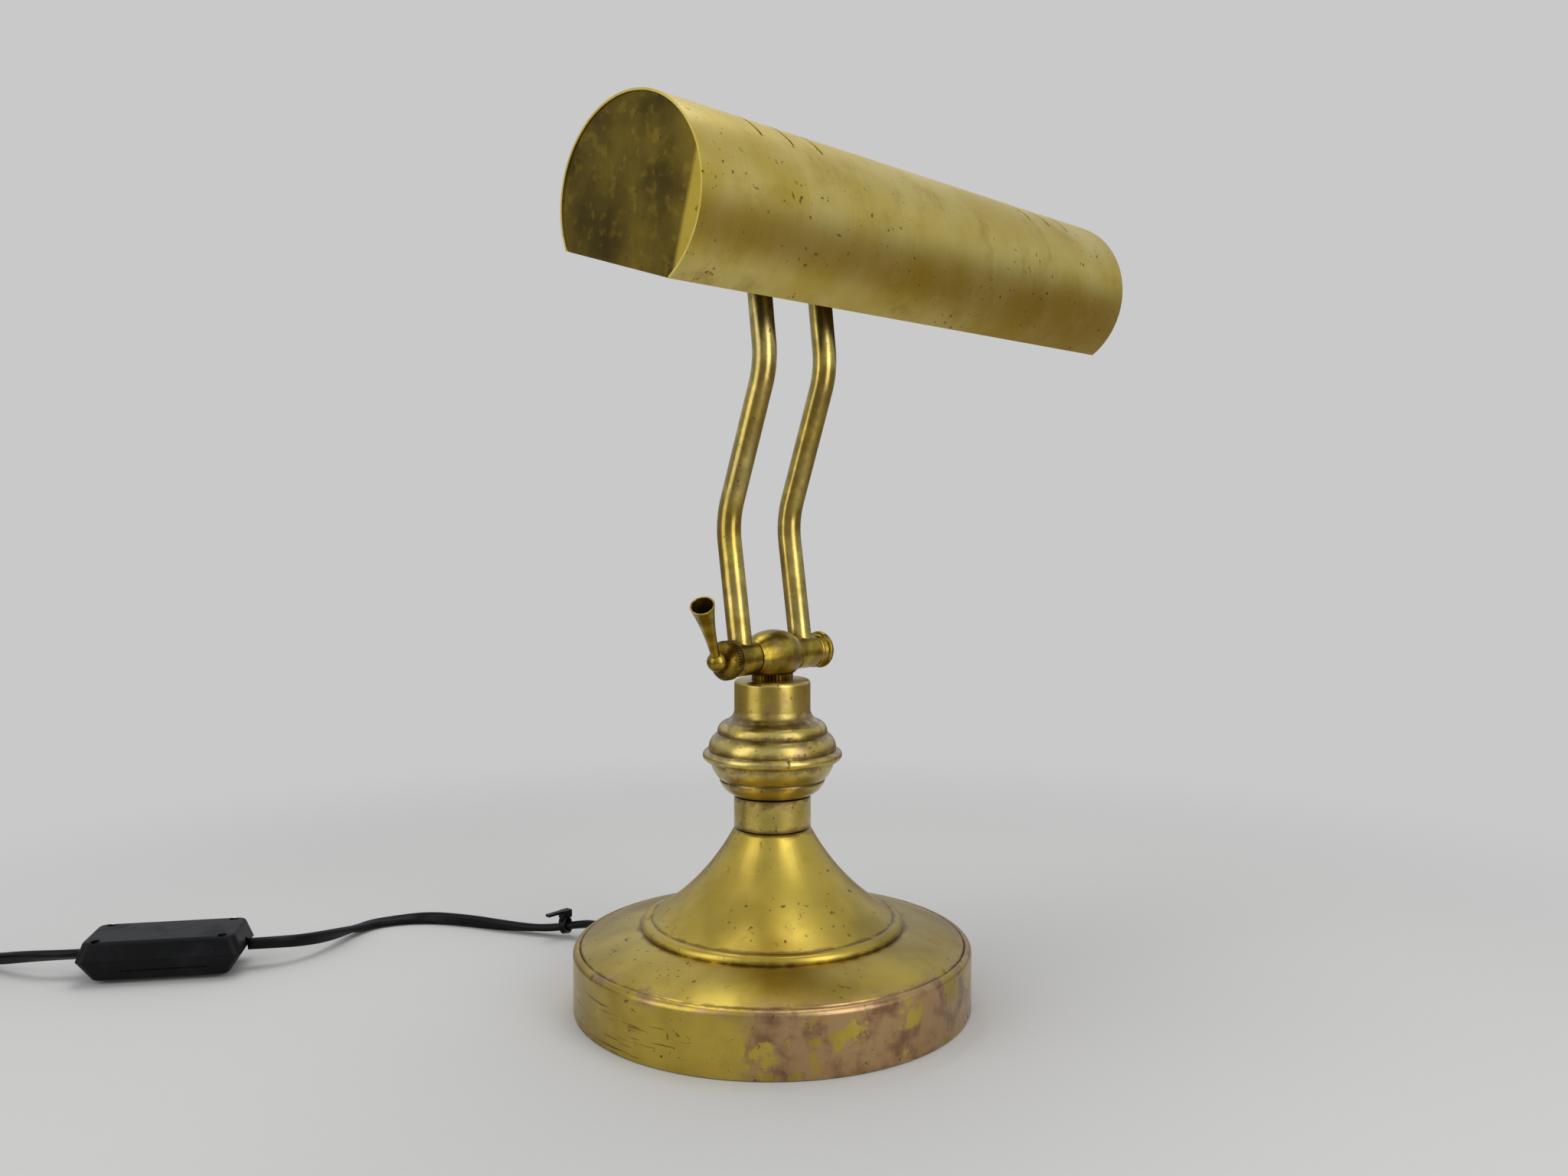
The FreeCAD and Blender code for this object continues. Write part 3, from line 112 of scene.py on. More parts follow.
def add(tree, kind, inputs=None, **settings):
    """Add a node; an input that is given a socket is linked to it, any other is set to the value."""
    made = tree.nodes.new(kind)
    for name, value in settings.items():
        setattr(made, name, value)
    for name, value in (inputs or {}).items():
        if isinstance(value, bpy.types.NodeSocket):
            tree.links.new(value, made.inputs[name])
        else:
            made.inputs[name].default_value = value
    return made


def laid_over(tree, below, above, mask, strength=1.0):
    """Colour with above laid over below where the mask is, at most by the strength."""
    share = add(tree, "ShaderNodeMath", {0: mask, 1: strength}, operation="MULTIPLY")
    mix = add(tree, "ShaderNodeMix", {"Factor": share.outputs["Value"], MIX_A: below, MIX_B: above},
              data_type="RGBA")
    return mix.outputs[MIX_COLOUR]


def overlap(tree, *masks):
    """Mask of where all the masks meet; one of them may be a plain strength."""
    shared = masks[0]
    for mask in masks[1:]:
        shared = add(tree, "ShaderNodeMath", {0: shared, 1: mask}, operation="MULTIPLY").outputs["Value"]
    return shared


def patches(tree, place, size, start, end, detail=3.0, rough=0.55, shift=(0, 0, 0), squeeze=(1, 1, 1)):
    """Mask of soft-edged patches about size metres apart; start and end set how much they cover.

    shift keeps two patterns from falling together, and squeeze packs one closer along an axis.
    """
    where = add(tree, "ShaderNodeVectorMath", {0: place, 1: squeeze, 2: shift}, operation="MULTIPLY_ADD")
    cloud = add(tree, "ShaderNodeTexNoise", {"Vector": where.outputs["Vector"], "Scale": 1 / size,
                                             "Detail": detail, "Roughness": rough})
    edge = add(tree, "ShaderNodeMapRange", {"Value": cloud.outputs["Fac"], "From Min": start,
                                            "From Max": end}, interpolation_type="SMOOTHSTEP")
    return edge.outputs["Result"]


def slope(tree, place, along, start, full):
    """Mask that goes from 0 to 1 between two distances along a direction."""
    distance = add(tree, "ShaderNodeVectorMath", {0: place, 1: along}, operation="DOT_PRODUCT")
    edge = add(tree, "ShaderNodeMapRange", {"Value": distance.outputs["Value"], "From Min": start,
                                            "From Max": full})
    return edge.outputs["Result"]


def axis_distance(tree, place):
    """Distance from the lamp's upright axis."""
    flat = add(tree, "ShaderNodeVectorMath", {0: place, 1: (1, 1, 0)}, operation="MULTIPLY")
    return add(tree, "ShaderNodeVectorMath", {0: flat.outputs["Vector"]}, operation="LENGTH").outputs["Value"]


def lathe_place(tree, place):
    """Radius and height round the lamp's upright axis, for what runs round a turned piece."""
    parts = add(tree, "ShaderNodeSeparateXYZ", {"Vector": place})
    joined = add(tree, "ShaderNodeCombineXYZ", {"X": axis_distance(tree, place), "Z": parts.outputs["Z"]})
    return joined.outputs["Vector"]


def groove_dirt_and_shade(tree, place, radius, height, reach):
    """Ring-shaped mask round the upright axis, with a torn edge, for dirt and painted shade in a groove;
    sizes in mm.
    """
    groove = (radius * MM, 0, height * MM)
    offset = add(tree, "ShaderNodeVectorMath", {0: lathe_place(tree, place), 1: groove},
                 operation="DISTANCE")
    torn = patches(tree, place, 0.006, 0.25, 0.70, detail=5.0)
    wide = add(tree, "ShaderNodeMath", {0: torn, 1: 1.5 * reach * MM, 2: 0.05 * MM}, operation="MULTIPLY_ADD")
    share = add(tree, "ShaderNodeMath", {0: offset.outputs["Value"], 1: wide.outputs["Value"]},
                operation="DIVIDE")
    near = add(tree, "ShaderNodeMapRange", {"Value": share.outputs["Value"], "From Min": 1.0,
                                            "From Max": 0.1})
    return near.outputs["Result"]


def new_material(name):
    """A material with its node tree, its Principled shader and the Object coordinates."""
    material = bpy.data.materials.new(name)
    material.use_nodes = True
    tree = material.node_tree
    shader = tree.nodes["Principled BSDF"]
    place = add(tree, "ShaderNodeTexCoord").outputs["Object"]
    return material, tree, shader, place


def roughened(tree, shader, mask, low, high):
    """Roughness that goes from low to high as the mask goes from 0 to 1."""
    spread = add(tree, "ShaderNodeMapRange", {"Value": mask, "To Min": low, "To Max": high})
    tree.links.new(spread.outputs["Result"], shader.inputs["Roughness"])


def raised(tree, shader, height, depth_mm, strength):
    """Shading of a surface that stands up by height times depth."""
    bump = add(tree, "ShaderNodeBump", {"Height": height, "Distance": depth_mm * MM,
                                        "Strength": strength})
    tree.links.new(bump.outputs["Normal"], shader.inputs["Normal"])


# Marks: coordinates for fine lines, in lines per metre, coarser than the real ones so that they show

def turned_marks(tree, place):
    """Lines round the upright axis, 0.6 mm apart."""
    marks = add(tree, "ShaderNodeVectorMath", {0: lathe_place(tree, place), 1: (1600, 1600, 1600)},
                operation="MULTIPLY")
    return marks.outputs["Vector"]


def barrel_marks(tree, place):
    """Lines round the pivot barrel, which lies along X, 0.7 mm apart."""
    marks = add(tree, "ShaderNodeVectorMath", {0: place, 1: (1400, 60, 60)}, operation="MULTIPLY")
    return marks.outputs["Vector"]


def shade_marks(tree, place):
    """Brushing that runs round the shade: 0.7 mm apart along X and long across it."""
    marks = add(tree, "ShaderNodeVectorMath", {0: place, 1: (1500, 30, 30)}, operation="MULTIPLY")
    return marks.outputs["Vector"]


def tube_marks(tree, place):
    """Faint draw lines along the arms, 1.1 mm apart."""
    marks = add(tree, "ShaderNodeVectorMath", {0: place, 1: (900, 900, 40)}, operation="MULTIPLY")
    return marks.outputs["Vector"]


# Wear and painted shade: where the brass is bare, scratched, flecked or dirty, and shaded in its grooves

UP = (0, 0, 1)
ALONG_SHADE = (1, 0, 0)
PHOTO_RIGHT = (0.66, -0.75, 0.0)
ACROSS_END_PLATE = (0, -0.959, -0.282)

# Rings darkened with dirt and painted shade: radius, height and reach in mm
BASE_GROOVES = [(77.0, 24.4, 1.1), (53.2, 31.5, 1.7), (48.8, 35.2, 1.1), (15.0, 71.0, 2.0)]
COLUMN_GROOVES = [(15.5, 71.8, 1.6), (15.5, 84.0, 3.0), (21.2, 90.6, 1.8), (25.8, 98.2, 2.4),
                  (25.8, 102.4, 2.2), (22.4, 109.1, 3.2), (18.7, 114.1, 3.2), (16.4, 116.2, 3.0)]


def skirt_blush(tree, place):
    """Bare pink metal on the skirt's right side and in broken patches round its top edge."""
    right = slope(tree, place, PHOTO_RIGHT, -0.014, -0.004)
    below_edge = slope(tree, place, UP, 0.0262, 0.0245)
    islands = patches(tree, place, 0.012, 0.40, 0.47, detail=6.0, rough=0.6)
    broad = overlap(tree, right, below_edge, islands)
    rim = add(tree, "ShaderNodeMapRange", {"Value": axis_distance(tree, place), "From Min": 0.070,
                                           "From Max": 0.078})
    torn = patches(tree, place, 0.011, 0.46, 0.60, detail=6.0, shift=(0.4, 0.4, 0.1))
    top = slope(tree, place, UP, 0.0205, 0.0235)
    edge = overlap(tree, rim.outputs["Result"], torn, top, 0.75)
    return add(tree, "ShaderNodeMath", {0: broad, 1: edge}, operation="MAXIMUM").outputs["Value"]


def skirt_scratches(tree, place):
    """Level scratches on the left of the skirt, 10 to 20 mm long and under 1 mm high."""
    low = slope(tree, place, UP, 0.0215, 0.0195)
    left = slope(tree, place, PHOTO_RIGHT, -0.010, -0.030)
    streaks = patches(tree, place, 0.022, 0.64, 0.67, detail=1.0, squeeze=(1, 1, 26))
    return overlap(tree, low, left, streaks)


def rubbed_places(tree, place):
    """Small rubbed places where the film is gone, at half strength."""
    return overlap(tree, patches(tree, place, 0.009, 0.55, 0.68), 0.5)


def rim_and_ends(tree, place):
    """Where the most flecks are: beside the shade's left rim and along its lower right end."""
    rim = slope(tree, place, ALONG_SHADE, -0.074, -0.087)
    right_end = slope(tree, place, ALONG_SHADE, 0.120, 0.185)
    low = slope(tree, place, UP, 0.297, 0.276)
    corner = overlap(tree, right_end, low)
    return add(tree, "ShaderNodeMath", {0: rim, 1: corner}, operation="MAXIMUM").outputs["Value"]


# Materials

def fleck_mask(tree, place, fleck_edge, crowded):
    """Brown flecks 3 mm apart that gather in some places; a higher edge leaves fewer."""
    flecks = patches(tree, place, 0.0028, fleck_edge, fleck_edge + 0.03, shift=(0.7, 0.5, 0.9))
    gather = patches(tree, place, 0.03, 0.36, 0.60, shift=(0.2, 0.8, 0.4))
    if crowded:
        both = add(tree, "ShaderNodeMath", {0: gather, 1: crowded(tree, place)}, operation="MAXIMUM")
        gather = both.outputs["Value"]
    return overlap(tree, flecks, gather)


def blushed_tone(tree, place, finish, tone, bare):
    """The tone with pink-brown bare metal and its purple-brown mottling laid over it."""
    bruised = patches(tree, place, 0.009, 0.43, 0.68, detail=6.0, shift=(0.1, 0.9, 0.3))
    tone = laid_over(tree, tone, finish.copper, bare, 0.85)
    return laid_over(tree, tone, finish.bruise, overlap(tree, bare, bruised), 0.75)


def brass(name, finish, rough, marks, ground=None, oiled=0.0, blush=None, fleck_edge=0.66, crowded=None,
          scratches=None, grooves=(), lacquer=0.0):
    """Old brass: pale and deep clouds, brown flecks, fine marks of the maker's brush or lathe.

    rough is the roughness of bright and dull places, marks gives the coordinates that the fine lines
    follow, ground is the pair of main colours and oiled the strength of the brown film. blush, crowded
    and scratches give masks of bare metal, of the places with the most flecks and of dark scratches.
    grooves lists the rings darkened with dirt and painted shade, and lacquer is the weight of the clear coat.
    """
    material, tree, shader, place = new_material(name)
    shader.inputs["Metallic"].default_value = 1.0
    shader.inputs["Coat Weight"].default_value = lacquer
    shader.inputs["Coat Roughness"].default_value = 0.28
    first, second = ground or (finish.brass, finish.brass_pale)
    murk = patches(tree, place, 0.016, 0.50, 0.78, detail=5.0, shift=(0.3, 0.1, 0.2))
    lines = add(tree, "ShaderNodeTexNoise", {"Vector": marks(tree, place), "Scale": 1.0, "Detail": 2.0})
    spots = fleck_mask(tree, place, fleck_edge, crowded)
    tone = laid_over(tree, first, second, patches(tree, place, 0.045, 0.36, 0.66))
    tone = laid_over(tree, tone, finish.brass_deep, murk, 0.55)
    tone = laid_over(tree, tone, finish.brass_deep, lines.outputs["Fac"], 0.30)
    if oiled:
        film = patches(tree, place, 0.006, 0.30, 0.62, detail=5.0, shift=(0.6, 0.2, 0.6))
        tone = laid_over(tree, tone, finish.oil, film, oiled)
    if blush:
        tone = blushed_tone(tree, place, finish, tone, blush(tree, place))
    tone = laid_over(tree, tone, finish.fleck, spots, 0.8)
    if scratches:
        tone = laid_over(tree, tone, finish.fleck, scratches(tree, place), 0.7)
    # Dirt and painted shade in the grooves
    for radius, height, reach in grooves:
        tone = laid_over(tree, tone, finish.crevice_dirt_and_shade, groove_dirt_and_shade(tree, place, radius, height, reach), 0.72)
    tree.links.new(tone, shader.inputs["Base Color"])
    dull = add(tree, "ShaderNodeMath", {0: murk, 1: spots}, operation="MAXIMUM")
    roughened(tree, shader, dull.outputs["Value"], *rough)
    relief = add(tree, "ShaderNodeMath", {0: lines.outputs["Fac"], 1: spots}, operation="SUBTRACT")
    raised(tree, shader, relief.outputs["Value"], 0.05, 0.35)
    return material


def patina_plate(finish):
    """Brass end plate under a dark olive film with lighter blotches and round brown spots."""
    material, tree, shader, place = new_material("patinated_end_plate")
    shader.inputs["Metallic"].default_value = 1.0
    cloud = patches(tree, place, 0.026, 0.30, 0.74, detail=5.0)
    small = patches(tree, place, 0.005, 0.52, 0.68, detail=3.0, shift=(0.3, 0.3, 0.3))
    spots = patches(tree, place, 0.0042, 0.66, 0.70, shift=(0.9, 0.1, 0.5))
    bright_strip = slope(tree, place, ACROSS_END_PLATE, -0.0440, -0.0422)
    tone = laid_over(tree, finish.patina, finish.brass_deep, cloud, 0.38)
    tone = laid_over(tree, tone, finish.brass, bright_strip, 0.60)
    tone = laid_over(tree, tone, finish.brass_deep, small, 0.22)
    tone = laid_over(tree, tone, finish.fleck, spots, 0.75)
    tree.links.new(tone, shader.inputs["Base Color"])
    roughened(tree, shader, cloud, 0.52, 0.38)
    raised(tree, shader, small, 0.04, 0.3)
    return material


def bright_metal(name, dull, pale, rough, bloom_size=0.003, bloom_end=0.70):
    """Plain pale metal with a faint crystal bloom and dull handling marks."""
    material, tree, shader, place = new_material(name)
    shader.inputs["Metallic"].default_value = 1.0
    bloom = patches(tree, place, bloom_size, 0.35, bloom_end)
    tree.links.new(laid_over(tree, linear(dull), linear(pale), bloom), shader.inputs["Base Color"])
    roughened(tree, shader, bloom, *rough)
    return material


def zinc_steel():
    """Zinc-plated steel: pale grey, with a coarser bloom than the other metals."""
    return bright_metal("zinc_plated_steel", "#8E8D88", "#B9B8B2", (0.30, 0.48), 0.004, 0.65)


def cast_iron():
    """Raw grey iron: dark, dry and grainy from the sand mould."""
    material, tree, shader, place = new_material("raw_cast_iron")
    shader.inputs["Metallic"].default_value = 0.8
    shader.inputs["Roughness"].default_value = 0.75
    grain = patches(tree, place, 0.0012, 0.3, 0.7, detail=6.0)
    tree.links.new(laid_over(tree, linear("#2B2A29"), linear("#4A4744"), grain), shader.inputs["Base Color"])
    raised(tree, shader, grain, 0.3, 0.6)
    return material


def wool_felt():
    """Dark green wool felt: matt, with short fibres lying every way."""
    material, tree, shader, place = new_material("green_wool_felt")
    shader.inputs["Sheen Weight"].default_value = 0.4
    shader.inputs["Roughness"].default_value = 0.95
    fibre = patches(tree, place, 0.0011, 0.3, 0.7, detail=5.0, squeeze=(1, 1.6, 1))
    tree.links.new(laid_over(tree, linear("#1B2B20"), linear("#33483A"), fibre), shader.inputs["Base Color"])
    raised(tree, shader, fibre, 0.25, 0.7)
    return material


def black_plastic(name, finish, roughness, grain_mm, dust):
    """Black moulded plastic or PVC: satin, with mould grain, grey dust and a few rubbed places."""
    material, tree, shader, place = new_material(name)
    shader.inputs["IOR"].default_value = 1.47
    shader.inputs["Specular IOR Level"].default_value = 0.16
    grain = patches(tree, place, grain_mm * MM, 0.3, 0.7, detail=4.0)
    rubbed = patches(tree, place, 0.012, 0.45, 0.75, detail=5.0, shift=(0.2, 0.6, 0.1))
    lint = patches(tree, place, 0.0011, 0.70, 0.74, shift=(0.5, 0.1, 0.8))
    tone = laid_over(tree, finish.black, linear("#1D1E21"), rubbed, dust)
    tone = laid_over(tree, tone, linear("#5A5B5E"), lint, 0.25)
    tree.links.new(tone, shader.inputs["Base Color"])
    roughened(tree, shader, rubbed, roughness - 0.07, roughness + 0.10)
    raised(tree, shader, grain, 0.04, 0.4)
    return material


def clear_glass():
    """Thin blown glass of the tubular bulb, with a faint ripple."""
    material, tree, shader, place = new_material("clear_bulb_glass")
    shader.inputs["Transmission Weight"].default_value = 1.0
    shader.inputs["IOR"].default_value = 1.47
    shader.inputs["Base Color"].default_value = linear("#F4F5F2")
    ripple = patches(tree, place, 0.012, 0.2, 0.8, detail=2.0, squeeze=(1, 3, 3))
    roughened(tree, shader, ripple, 0.02, 0.06)
    raised(tree, shader, ripple, 0.05, 0.2)
    return material


# Meshes

def mesh_object(name, points, faces, material, smooth=True):
    """A new object from points and faces, linked to the scene."""
    mesh = bpy.data.meshes.new(name)
    mesh.from_pydata([tuple(p) for p in points], [], faces)
    mesh.validate()
    mesh.materials.append(material)
    if smooth:
        mesh.shade_smooth()
    made = bpy.data.objects.new(name, mesh)
    bpy.context.scene.collection.objects.link(made)
    return made


def tube_mesh(name, rings, material):
    """A closed skin over rings of points, the first and last ring closed with a face."""
    size = len(rings[0])
    points = [p for ring in rings for p in ring]
    faces = []
    for i in range(len(rings) - 1):
        for k in range(size):
            after = (k + 1) % size
            faces.append((i * size + k, i * size + after, (i + 1) * size + after, (i + 1) * size + k))
    faces.append(tuple(reversed(range(size))))
    last = (len(rings) - 1) * size
    faces.append(tuple(last + k for k in range(size)))
    return mesh_object(name, points, faces, material)


def circle(steps):
    """Cosine and sine of evenly spaced angles, once round."""
    angles = [2 * math.pi * k / steps for k in range(steps)]
    return [(math.cos(a), math.sin(a)) for a in angles]


def finish_nodes(names, material):
    """Give carried-over CAD pieces their finish."""
    for name in names:
        piece = NODES[name]
        piece.data.materials.clear()
        piece.data.materials.append(material)


def copies_tree(name, material):
    """Geometry Nodes that put a piece at each point, scaled by Size and the point's share."""
    tree = bpy.data.node_groups.new(name + "_tree", "GeometryNodeTree")
    tree.interface.new_socket("Geometry", in_out="INPUT", socket_type="NodeSocketGeometry")
    piece_input = tree.interface.new_socket("Piece", in_out="INPUT", socket_type="NodeSocketObject")
    size_input = tree.interface.new_socket("Size", in_out="INPUT", socket_type="NodeSocketFloat")
    tree.interface.new_socket("Geometry", in_out="OUTPUT", socket_type="NodeSocketGeometry")
    given = add(tree, "NodeGroupInput")
    points = add(tree, "GeometryNodeMeshToPoints", {"Mesh": given.outputs["Geometry"]})
    piece = add(tree, "GeometryNodeObjectInfo", {"Object": given.outputs["Piece"]})
    share = add(tree, "GeometryNodeInputNamedAttribute", {"Name": "share"}, data_type="FLOAT")
    scale = add(tree, "ShaderNodeMath", {0: share.outputs["Attribute"], 1: given.outputs["Size"]},
                operation="MULTIPLY")
    copies = add(tree, "GeometryNodeInstanceOnPoints",
                 {"Points": points.outputs["Points"], "Instance": piece.outputs["Geometry"],
                  "Scale": scale.outputs["Value"]})
    real = add(tree, "GeometryNodeRealizeInstances", {"Geometry": copies.outputs["Instances"]})
    dressed = add(tree, "GeometryNodeSetMaterial", {"Geometry": real.outputs["Geometry"],
                                                    "Material": material})
    add(tree, "NodeGroupOutput", {"Geometry": dressed.outputs["Geometry"]})
    return tree, piece_input.identifier, size_input.identifier


def repeated(name, places, sizes, shape, material, body):
    """Copies of a small mesh at places, scaled by sizes, as one piece that rides on a body."""
    tree, piece_input, size_input = copies_tree(name, material)
    seed = bpy.data.meshes.new(name + "_places")
    seed.from_pydata([tuple(p) for p in places], [], [])
    seed.attributes.new("share", "FLOAT", "POINT").data.foreach_set("value", sizes)
    holder = bpy.data.objects.new(name + "_places", seed)
    bpy.context.scene.collection.objects.link(holder)
    modifier = holder.modifiers.new("Copies", "NODES")
    modifier.node_group = tree
    modifier[piece_input] = shape
    modifier[size_input] = 1.0
    bpy.context.view_layer.update()
    evaluated = holder.evaluated_get(bpy.context.evaluated_depsgraph_get())
    mesh = bpy.data.meshes.new_from_object(evaluated)
    mesh.materials.clear()
    mesh.materials.append(material)
    made = bpy.data.objects.new(name, mesh)
    bpy.context.scene.collection.objects.link(made)
    holder.modifiers.remove(modifier)
    bpy.data.objects.remove(holder)
    bpy.data.objects.remove(shape)
    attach(made, body)
    return made


def ring_shape(name, along, radius, thickness, material):
    """A ring round an axis, as one small mesh at the origin."""
    turn = Vector((0, 0, 1)).rotation_difference(Vector(along)).to_matrix()
    steps, sides = 40, 10
    points, faces = [], []
    for x, y in circle(steps):
        for out, up in circle(sides):
            reach = radius + thickness * out
            points.append(turn @ Vector((x * reach, y * reach, thickness * up)))
    for i in range(steps):
        for k in range(sides):
            j, m = (i + 1) % steps, (k + 1) % sides
            faces.append((i * sides + k, j * sides + k, j * sides + m, i * sides + m))
    return mesh_object(name, points, faces, material)


# Cord: the route's points repeat the ones that the CAD tube follows, in metres

ROUTE_TO_SWITCH = [
    (0.0, 0.1020, 0.0086), (0.0, 0.1105, 0.0086), (-0.0026, 0.1200, 0.0070), (-0.0090, 0.1330, 0.0042),
    (-0.0185, 0.1530, 0.0029), (-0.0270, 0.1760, 0.0029), (-0.0375, 0.1945, 0.0029),
    (-0.0540, 0.2045, 0.0029), (-0.0706, 0.2007, 0.0039), (-0.0852, 0.1919, 0.0062),
    (-0.1013, 0.1864, 0.0090),
]
ROUTE_TO_COIL = [(-0.1905, 0.2570, 0.0086), (-0.1960, 0.2740, 0.0050)]
TAIL_ROUTE = [(0.0320, 0.0370, 0.0090), (0.0225, 0.0495, 0.0083), (0.0100, 0.0575, 0.0069),
              (-0.0030, 0.0605, 0.0069)]
SWITCH_CENTRE = Vector((-0.1486, 0.2161, 0.0106))
SWITCH_TURN = math.radians(-38.2)
SWITCH_HALF = 0.033
SWITCH_RUN = 0.011
SCREW_ALONG = 0.025
SCREW_ACROSS = 0.0114
COIL_CENTRE = (-0.2480, 0.2842)
COIL_TURN = math.radians(35.0)
COIL_OUTER = 0.0415
COIL_PITCH = 0.00615
COIL_LOW = 0.0029
COIL_LEAD = 0.0076
COIL_RUN = 0.013
TAIL_RUN = 0.0134
LOW_HALF_TURNS = 7
POINTS_PER_HALF_TURN = 6
TABLE_GAP = 0.1 * MM

# Twist of the flex about itself: metres along it, degrees from lying flat
TWISTS_TO_SWITCH = [(0.0, 30), (0.030, 12), (0.078, 90), (0.118, 168), (0.165, 255), (0.195, 240)]
TWISTS_TO_PLUG = [(0.0, 35), (0.040, 60), (0.085, 90), (1.43, 90), (1.50, 0), (1.60, 0)]


def coil_place(x, y, z):
    """A point of the coil's own drawing, turned and set down beside the switch."""
    c, s = math.cos(COIL_TURN), math.sin(COIL_TURN)
    return Vector((COIL_CENTRE[0] + x * c - y * s, COIL_CENTRE[1] + x * s + y * c, z))


def coil_points():
    """In on the table, up a layer in the innermost half turn, and out again on top."""
    step = COIL_PITCH / 2
    high = COIL_LOW + COIL_PITCH
    smallest = COIL_OUTER - LOW_HALF_TURNS * step
    halves = [(COIL_OUTER - k * step, COIL_LOW, COIL_LOW) for k in range(LOW_HALF_TURNS)]
    halves += [(smallest, COIL_LOW, high)]
    halves += [(smallest + k * step, high, high) for k in range(1, LOW_HALF_TURNS)]
    x, heading = COIL_OUTER, 1
    points = [coil_place(x, -COIL_LEAD, COIL_LOW)]
    for radius, begin, end in halves:
        around = heading * radius
        for k in range(POINTS_PER_HALF_TURN):
            share = k / POINTS_PER_HALF_TURN
            a = math.pi * share
            points.append(coil_place(x - around + around * math.cos(a), around * math.sin(a),
                                     begin + (end - begin) * share))
        x -= 2 * around
        heading = -heading
    points.append(coil_place(x, 0, high))
    points.append(coil_place(x, COIL_LEAD, high))
    return points, x, high


def spline_line(name, points):
    """Points along one smooth open spline that has the route's points as its control points."""
    data = bpy.data.curves.new(name, "CURVE")
    data.dimensions = "3D"
    data.resolution_u = 8
    spline = data.splines.new("NURBS")
    spline.points.add(len(points) - 1)
    for control, point in zip(spline.points, points):
        control.co = (*point, 1.0)
    spline.order_u = 3
    spline.use_endpoint_u = True
    holder = bpy.data.objects.new(name, data)
    mesh = bpy.data.meshes.new_from_object(holder)
    line = [v.co.copy() for v in mesh.vertices]
    bpy.data.meshes.remove(mesh)
    bpy.data.objects.remove(holder)
    bpy.data.curves.remove(data)
    return line


def travelled(line):
    """Distance along the line at each of its points."""
    total = [0.0]
    for a, b in zip(line, line[1:]):
        total.append(total[-1] + (b - a).length)
    return total


def keyed(keys, at):
    """Smooth value at a distance between given (distance, value) keys."""
    for (d0, v0), (d1, v1) in zip(keys, keys[1:]):
        if at <= d1:
            t = min(max((at - d0) / (d1 - d0), 0.0), 1.0)
            return v0 + (v1 - v0) * t * t * (3 - 2 * t)
    return keys[-1][1]


def flex_outline(flex):
    """Section of the flat twin flex: two round wires side by side with a shallow valley between."""
    half_wide = flex.width / 2
    half_thick = flex.thickness / 2
    wire = half_wide - half_thick
    steps, middle_share = 24, 0.25
    valley_depth, valley_share = 0.16, 0.25
    outline = []
    for c, s in circle(steps):
        across = half_thick * c + math.copysign(wire, c) * min(1.0, abs(c) / middle_share)
        valley = valley_depth * math.exp(-(across / (valley_share * half_wide)) ** 2)
        outline.append((across, half_thick * s * (1 - valley)))
    return outline


def flat_flex(name, points, twists, flex, material):
    """Flat twin flex along a route, turning about itself by the given twists, lying on the table."""
    line = spline_line(name, points)
    distance = travelled(line)
    outline = flex_outline(flex)
    rings, path = [], []
    for i, here in enumerate(line):
        before, after = line[max(i - 1, 0)], line[min(i + 1, len(line) - 1)]
        along = (after - before).normalized()
        side = Vector((0, 0, 1)).cross(along).normalized()
        up = along.cross(side)
        turn = math.radians(keyed(twists, distance[i]))
        wide = side * math.cos(turn) + up * math.sin(turn)
        thin = up * math.cos(turn) - side * math.sin(turn)
        reach = max(abs(wide.z * x + thin.z * y) for x, y in outline)
        centre = here + Vector((0, 0, reach - flex.tube + TABLE_GAP))
        path.append(centre)
        rings.append([centre + wide * x + thin * y for x, y in outline])
    piece = tube_mesh(name, rings, material)
    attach(piece, "base")
    return piece, path, distance[-1]


def switch_heading():
    """Direction of the switch's length on the table."""
    return Vector((math.cos(SWITCH_TURN), math.sin(SWITCH_TURN), 0))


def make_flex_to_switch(flex, pvc):
    """Flex from the strain relief to the switch's near end."""
    entry = SWITCH_CENTRE + switch_heading() * SWITCH_HALF
    points = [Vector(p) for p in ROUTE_TO_SWITCH] + [entry + switch_heading() * SWITCH_RUN, entry]
    near, path, run = flat_flex("flex_to_switch", points, TWISTS_TO_SWITCH, flex, pvc)
    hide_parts("cord_to_switch")
    relief_ribs(pvc)


def make_flex_to_plug(flex, pvc):
    """Flex from the switch's far end, through the coil, to the plug."""
    leave = SWITCH_CENTRE - switch_heading() * SWITCH_HALF
    turns, x, high = coil_points()
    into = (coil_place(0, 1, 0) - coil_place(0, 0, 0)).normalized()
    points = [leave, leave - switch_heading() * SWITCH_RUN] + [Vector(p) for p in ROUTE_TO_COIL]
    points += [turns[0] - into * COIL_RUN] + turns
    points += [coil_place(x, COIL_LEAD + TAIL_RUN, high)] + [coil_place(*p) for p in TAIL_ROUTE]
    far, path, run = flat_flex("flex_to_plug", points, TWISTS_TO_PLUG, flex, pvc)
    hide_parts("cord_to_coil", "cord_coil", "cord_tail")


def make_cords(finish, flex):
    """Both lengths of flex, the flex inside the lamp and the plug."""
    pvc = black_plastic("black_pvc_flex", finish, 0.42, 0.5, 0.35)
    finish_nodes(["strain_relief", "cord_grommet", "column_flex", "arm_flex"], pvc)
    finish_nodes(["plug_body"], black_plastic("black_plug_plastic", finish, 0.45, 0.6, 0.3))
    finish_nodes(["plug_pins"], bright_metal("nickel_plated_pins", "#A9A69E", "#D8D5CC", (0.18, 0.30)))
    make_flex_to_switch(flex, pvc)
    make_flex_to_plug(flex, pvc)


